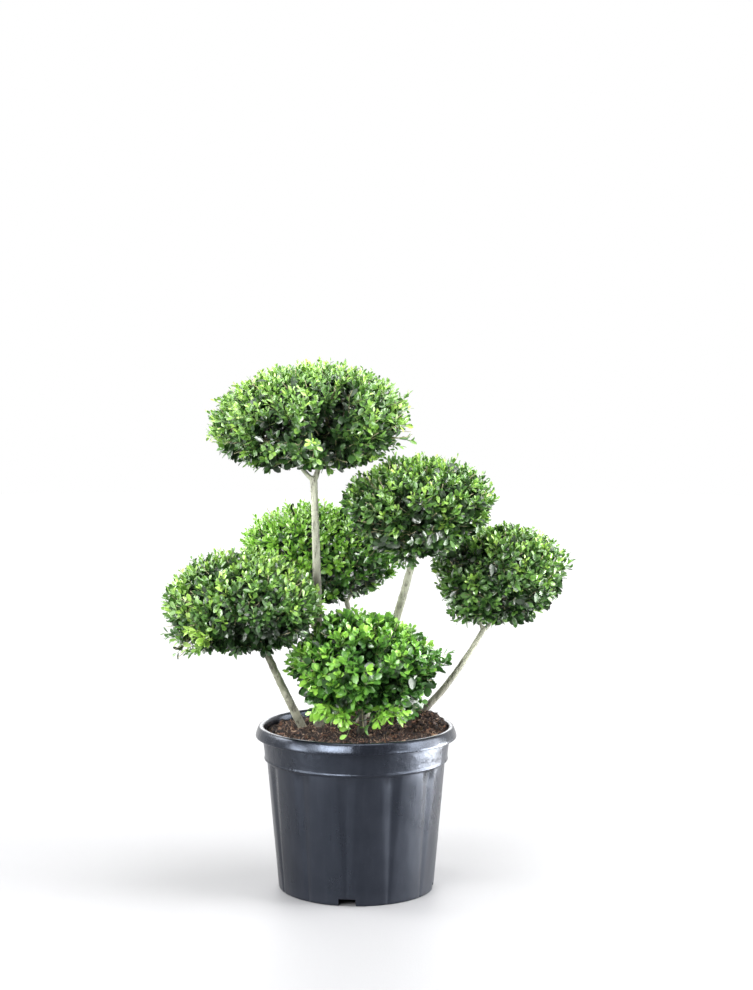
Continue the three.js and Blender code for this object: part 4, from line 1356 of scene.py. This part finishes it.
        # Painted shade darkens sprays between clumps and in hollows; strays are lighter, partly as painted
        # light
        light = self.light(aims, face) + lighter + CLEFT_LIGHT * cleft + HOLLOW_LIGHT * hollow
        smaller = 1.0 - UPPER_SMALLER * face[:, 2]
        bulk = self.shape.leaf * smaller * random.uniform(*BULK_VARIES, count)
        self.add_leaves(paths, length[:, 0], light, bare, beyond, bulk)

    def set_strays(self, aims, beyond):
        """Makes strays of the shoots near them. Returns how much lighter shoots are, and which are strays."""
        lighter = np.zeros(len(aims))
        stray = np.zeros(len(aims), bool)
        for *towards, by, tint, shoots in self.shape.strays:
            main = unit(np.array(towards))
            near = np.argsort(-(aims @ main))[:shoots]
            aims[near[0]] = main
            beyond[near] = by * np.array(STRAY_SHARES[:shoots])
            lighter[near] = tint
            stray[near] = True
        return lighter, stray

    def is_free(self, points, space):
        """Whether points are outside the neighbouring cushions and above the soil."""
        free = points[:, 2] > soil_height(points) + CLEAR_OF_SOIL
        for name, other in CUSHIONS.items():
            if name != self.name:
                free &= outness(other, points) > space
        return free

    def light(self, aims, face):
        """How light the spray's leaves are, from 0 to 1: painted light above and by the cushion's light,
        painted light and shade by its patches, and drifts and chance.
        """
        drift = lumpy(aims * DRIFT_GRAIN, self.shape.seed + DRIFT_SEED)
        tone = MIDDLE_TONE + UPPER_LIGHT * face[:, 2] + DRIFT_LIGHT * drift + self.shape.light
        tone += near_place(aims, self.shape.tints)
        return tone + self.random.normal(0, CHANCE_LIGHT, len(aims))

    def add_leaves(self, paths, length, light, bare, beyond, bulk):
        """Leaves alternate up each shoot: spreading and grown below, small, pale and upright at its tip."""
        ranks = self.foliage.leaves
        random = self.random
        for rank in range(ranks):
            keep = ~bare | (rank > ranks - BARE_RANKS)
            run = np.minimum(SHOOT_RUN + beyond, length * MOST_RUN)[keep]
            back = rank / (ranks - 0.5)
            share = np.clip(1 - run / length[keep] * (back ** CROWDING), 0.02, 1.0)
            base, along = along_path(paths[keep], share)
            count = len(base)
            if rank == 0:
                spread = random.uniform(*BUD_SPREAD, count)
                shoot_turn = random.uniform(0, FULL_TURN, len(paths))
            else:
                spread = SPREAD[0] + SPREAD[1] * back + random.normal(0, SPREAD_VARIES, count)
            turn = rank * GOLDEN_ANGLE + shoot_turn[keep] + random.normal(0, TURN_VARIES, count)
            young = min(1.0, YOUNG_SIZE[0] + YOUNG_SIZE[1] * back)
            grown = young * bulk[keep] * random.uniform(*SIZE_VARIES, count)
            tone = light[keep] + TIP_LIGHT - FOOT_SHADE * back + random.normal(0, TONE_VARIES, count)
            self.put_leaves(base, along, turn, spread, grown, tone, beyond[keep] > 0)

    def add_old_leaves(self, starts, ends, aims):
        """Older leaves further in, which fill the shade with dark tones that are painted shade."""
        random = self.random
        count = len(starts)
        for _ in range(self.foliage.old_leaves):
            share = random.uniform(*OLD_PLACES, count)[:, None]
            base = starts + (ends - starts) * share + random.normal(0, OLD_OFF, starts.shape)
            turn = random.uniform(0, FULL_TURN, count)
            spread = random.uniform(*OLD_SPREAD, count)
            tone = OLD_TONE[0] + OLD_TONE[1] * share[:, 0] + random.normal(0, OLD_VARIES, count)
            tone += OLD_TINT * near_place(aims, self.shape.tints)
            grown = self.shape.leaf * random.uniform(*OLD_SIZE, count)
            self.put_leaves(base, unit(ends - starts), turn, spread, grown, tone, False)

    def put_leaves(self, base, along, turn, spread, grown, tone, stray):
        """Leaves leave their shoot at an angle, and their upper side faces its tip and the light."""
        random = self.random
        across = square_to(along, UP + random.normal(0, NUDGE, along.shape))
        other = np.cross(along, across)
        out = across * np.cos(turn)[:, None] + other * np.sin(turn)[:, None]
        axis = unit(along * np.cos(spread)[:, None] + out * np.sin(spread)[:, None] + UP * LEAF_LIFT)
        face = square_to(axis, along + UP * LEAF_FACING + random.normal(0, LEAF_ROLL, axis.shape))
        count = len(base)
        self.leaves.append(Leaves(
            base=base + axis * STALK,
            axis=axis,
            face=face,
            length=self.foliage.leaf_length * grown,
            width=self.foliage.leaf_width * self.shape.slim * grown * random.uniform(*LEAF_WIDTHS, count),
            fold=random.uniform(*LEAF_FOLDS, count),
            curl=random.uniform(*LEAF_CURLS, count),
            tone=tone,
            stray=np.broadcast_to(stray, count),
        ))

    def fit(self, leaves):
        """Which leaves keep to the cushion's own space, clear of its neighbours, the limbs and the soil."""
        tips = leaves.base + leaves.axis * leaves.length[:, None]
        middles = (leaves.base + tips) / 2
        good = outness(self.shape, tips) < np.where(leaves.stray, STRAY_SPACE, OWN_SPACE)
        good &= (tips[:, 2] > self.shape.hem) | leaves.stray
        good &= self.is_free(tips, NEIGHBOUR_SPACE)
        for name in (*STEMS, *BOUGHS):
            for bead, radius in zip(*limb_points(name, BEADS)):
                for spots in (tips, middles):
                    good &= np.linalg.norm(spots - bead, axis=1) > radius + CLEAR_OF_LIMB
        return good

    def build(self):
        """The joined leaves and the joined twigs."""
        leaves = Leaves(*(np.concatenate(made) for made in zip(*self.leaves)))
        good = self.fit(leaves)
        leaves = Leaves(*(value[good] for value in leaves))
        corners, triangles = leaf_arrays(leaves)
        materials = leaf_finishes(self.shape.lush)
        tones = len(materials)
        tone = np.clip(((1 - leaves.tone) * tones).astype(int), 0, tones - 1)
        slots = np.repeat(tone, len(triangles) // len(tone))
        word = self.name.replace("cushion_", "")
        place(add_mesh("leaves_" + word, corners, triangles, slots, materials), "foliage", self.name)
        finishes = toned_finishes(TWIG_TONES, TWIG_LOOK)
        place(add_mesh("twigs_" + word, *self.join_tubes(), finishes), "bark", self.name)

    def join_tubes(self):
        """The corners, triangles and slots of all the twigs."""
        every = []
        start = 0
        for paths, radii, sides, slot in self.tubes:
            corners, triangles = tube_arrays(paths, radii, sides)
            every.append((corners, triangles + start, np.full(len(triangles), slot)))
            start += len(corners)
        return [np.concatenate(made) for made in zip(*every)]


def along_path(paths, share):
    """Points and directions at shares of the way along paths."""
    steps = paths.shape[1] - 1
    at = np.clip(share * steps, 0, steps - 1e-6)
    index = at.astype(int)
    row = np.arange(len(paths))
    here = paths[row, index]
    there = paths[row, index + 1]
    return here + (there - here) * (at - index)[:, None], unit(there - here)


class HOLLY_OT_cushion(bpy.types.Operator):
    """Grow one cushion of leaves on from the tips of its limbs"""

    bl_idname = "holly.cushion"
    bl_label = "Cushion"

    cushion: StringProperty(name="Cushion", description="Name of the cushion to grow", default="cushion_top")

    def execute(self, context):
        alone()
        cushion = Cushion(self.cushion, context.scene.holly_foliage)
        cushion.grow()
        cushion.build()
        return {"FINISHED"}


# The lights: name, place, width and height, and power. Cards only show in gloss.
LAMPS = (
    ("overhead", (0.2, -0.4, 2.6), (1.4, 1.4), 54),
    ("front_left", (-1.8, -2.6, 1.8), (2.4, 1.3), 100),
    ("left_high", (-2.2, 0.6, 1.7), (1.2, 1.2), 52),
    ("right_front", (2.7, -0.8, 1.6), (1.2, 1.4), 88),
    ("right_window", (2.4, 0.4, 0.8), (0.8, 1.3), 40),
    ("right_low", (1.2, -0.5, 0.17), (0.70, 0.30), 4.0),
    ("left_low", (-1.3, -0.9, 0.17), (0.8, 0.30), 4.5),
    ("back", (0.0, 2.6, 1.3), (2.4, 1.0), 36),
)
CARDS = (
    ("rim_card", (-1.35, -2.7, 1.74), (1.5, 0.8), 115),
    ("side_card", (0.95, 0.06, 0.17), (0.68, 0.30), 26),
    ("leaf_card_left", (-2.6, -1.0, 0.8), (0.9, 0.9), 50),
    ("leaf_card_right", (2.2, -1.7, 0.5), (0.8, 0.6), 32),
)

# How bright the surround is for what it lights and for what mirrors it, and what the dim sides lose
SURROUND = 0.50
MIRRORED = 1.15
FRONT_LOSS = 0.66
LEFT_LOSS = 0.35

# The floor's radius and level, the spot that the lights face, and the camera's sensor and shift
FLOOR_RADIUS = 9.0
FLOOR_LEVEL = -0.0004
AIM = (0, 0, 0.5)
SENSOR = 36.0
SHIFT = (0.05, -0.1634)


def add_floor(stage):
    """A wide round floor, pale under the pot and white further off."""
    floor = turned_shell("floor", 96, (FLOOR_RADIUS, FLOOR_LEVEL), ())
    alone()
    finish = Finish("floor_paint")
    x, y = finish.part(0), finish.part(1)
    far = (x * x + y * y).ramp(0.35, 3.0)
    flecks = finish.noise(240, 3, 0.6).ramp(0.3, 0.8)
    shade = finish.mix(flecks * 0.12, stage.floor, (0.5, 0.5, 0.5))
    seen = finish.value("ShaderNodeLightPath", {}, {}, "Is Camera Ray")
    dim = (0 - y).ramp(0, 0.5) * (1 - seen) * FRONT_LOSS
    black, white = (0, 0, 0), (1, 1, 1)
    floor.data.materials.append(finish.wear({
        "Base Color": finish.mix(far, shade, black),
        "Roughness": 0.55 + flecks * 0.1,
        "Emission Color": finish.mix(far * (1 - dim), black, white),
        "Emission Strength": 1.0,
        "Normal": finish.bump(flecks, 0.0004, 0.3),
    }))
    floor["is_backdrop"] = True


def add_world(scene):
    """A white surround, dimmer in front and at the left, that lights more softly than it shows."""
    world = bpy.data.worlds.new("white_surround")
    shading = Shading(world)
    seen = shading.value("ShaderNodeLightPath", {}, {}, "Is Camera Ray")
    mirrored = shading.value("ShaderNodeLightPath", {}, {}, "Is Glossy Ray")
    way = shading.value("ShaderNodeTexCoord", {}, {}, "Generated")
    left = (0 - shading.value("ShaderNodeSeparateXYZ", {}, {0: way}, 0)).ramp(0.30, 0.90)
    front = (0 - shading.value("ShaderNodeSeparateXYZ", {}, {0: way}, 1)).ramp(0.30, 0.75)
    full = SURROUND + mirrored * (MIRRORED - SURROUND)
    given = full * (1 - front * FRONT_LOSS) * (1 - left * LEFT_LOSS)
    background = shading.nodes["Background"].inputs
    shading.feed(background["Color"], (1, 1, 1))
    shading.feed(background["Strength"], seen + given * (1 - seen))
    scene.world = world


def add_lamp(name, spot, extent, power):
    """A soft rectangular light that faces the plant."""
    light = bpy.data.lights.new(name, "AREA")
    light.shape = "RECTANGLE"
    light.size, light.size_y = extent
    light.energy = power
    lamp = bpy.data.objects.new(name, light)
    lamp.location = spot
    lamp.rotation_euler = (Vector(AIM) - lamp.location).to_track_quat("-Z", "Y").to_euler()
    lamp.visible_camera = False
    bpy.context.scene.collection.objects.link(lamp)
    return lamp


def add_camera(scene, stage):
    """A level camera at the height of the plant's top."""
    data = bpy.data.cameras.new("camera")
    data.sensor_width = SENSOR
    data.lens = stage.lens
    data.shift_x, data.shift_y = SHIFT
    camera = bpy.data.objects.new("camera", data)
    camera.location = (stage.camera_side, -stage.camera_distance, stage.camera_height)
    camera.rotation_euler = (math.pi / 2, 0, 0)
    scene.collection.objects.link(camera)
    scene.camera = camera


class HOLLY_OT_stage(bpy.types.Operator):
    """Set the pale floor, the soft lights and the camera"""

    bl_idname = "holly.stage"
    bl_label = "Stage"

    def execute(self, context):
        stage = context.scene.holly_stage
        add_floor(stage)
        add_world(context.scene)
        for light in LAMPS:
            add_lamp(*light)
        for card in CARDS:
            add_lamp(*card).visible_diffuse = False
        add_camera(context.scene, stage)
        context.scene.view_settings.view_transform = "Standard"
        return {"FINISHED"}


class HOLLY_PT_panel(bpy.types.Panel):
    """Lists the operators and the main sizes"""

    bl_label = "Holly"
    bl_idname = "HOLLY_PT_panel"
    bl_space_type = "VIEW_3D"
    bl_region_type = "UI"
    bl_category = "Holly"

    def draw(self, context):
        layout = self.layout
        for operator in ("holly.pot", "holly.soil", "holly.stems"):
            layout.operator(operator)
        for name in CUSHIONS:
            button = layout.operator("holly.cushion", text=name.replace("_", " ").capitalize())
            button.cushion = name
        layout.operator("holly.stage")
        for group in GROUPS:
            settings = getattr(context.scene, group)
            layout.separator()
            for key in settings.__annotations__:
                layout.prop(settings, key)


GROUPS = {
    "holly_pot": HollyPot,
    "holly_soil": HollySoil,
    "holly_bark": HollyBark,
    "holly_foliage": HollyFoliage,
    "holly_stage": HollyStage,
}
OPERATORS = (HOLLY_OT_pot, HOLLY_OT_soil, HOLLY_OT_stems, HOLLY_OT_cushion, HOLLY_OT_stage)


def register():
    """Adds the property groups, operators and panel to Blender."""
    for name, group in GROUPS.items():
        bpy.utils.register_class(group)
        setattr(bpy.types.Scene, name, PointerProperty(type=group))
    for shown in (*OPERATORS, HOLLY_PT_panel):
        bpy.utils.register_class(shown)


def unregister():
    """Takes them out again."""
    for shown in (HOLLY_PT_panel, *reversed(OPERATORS)):
        bpy.utils.unregister_class(shown)
    for name, group in GROUPS.items():
        delattr(bpy.types.Scene, name)
        bpy.utils.unregister_class(group)


def main():
    """Makes the whole scene, and measures how large it is."""
    register()
    bpy.ops.holly.pot()
    bpy.ops.holly.soil()
    bpy.ops.holly.stems()
    for name in CUSHIONS:
        bpy.ops.holly.cushion(cushion=name)
    bpy.ops.holly.stage()
    boxes = {"cad": CAD_BOX, "visual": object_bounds()}
    {key: [list(corner) for corner in box] for key, box in boxes.items()}


if __name__ == "__main__":
    main()
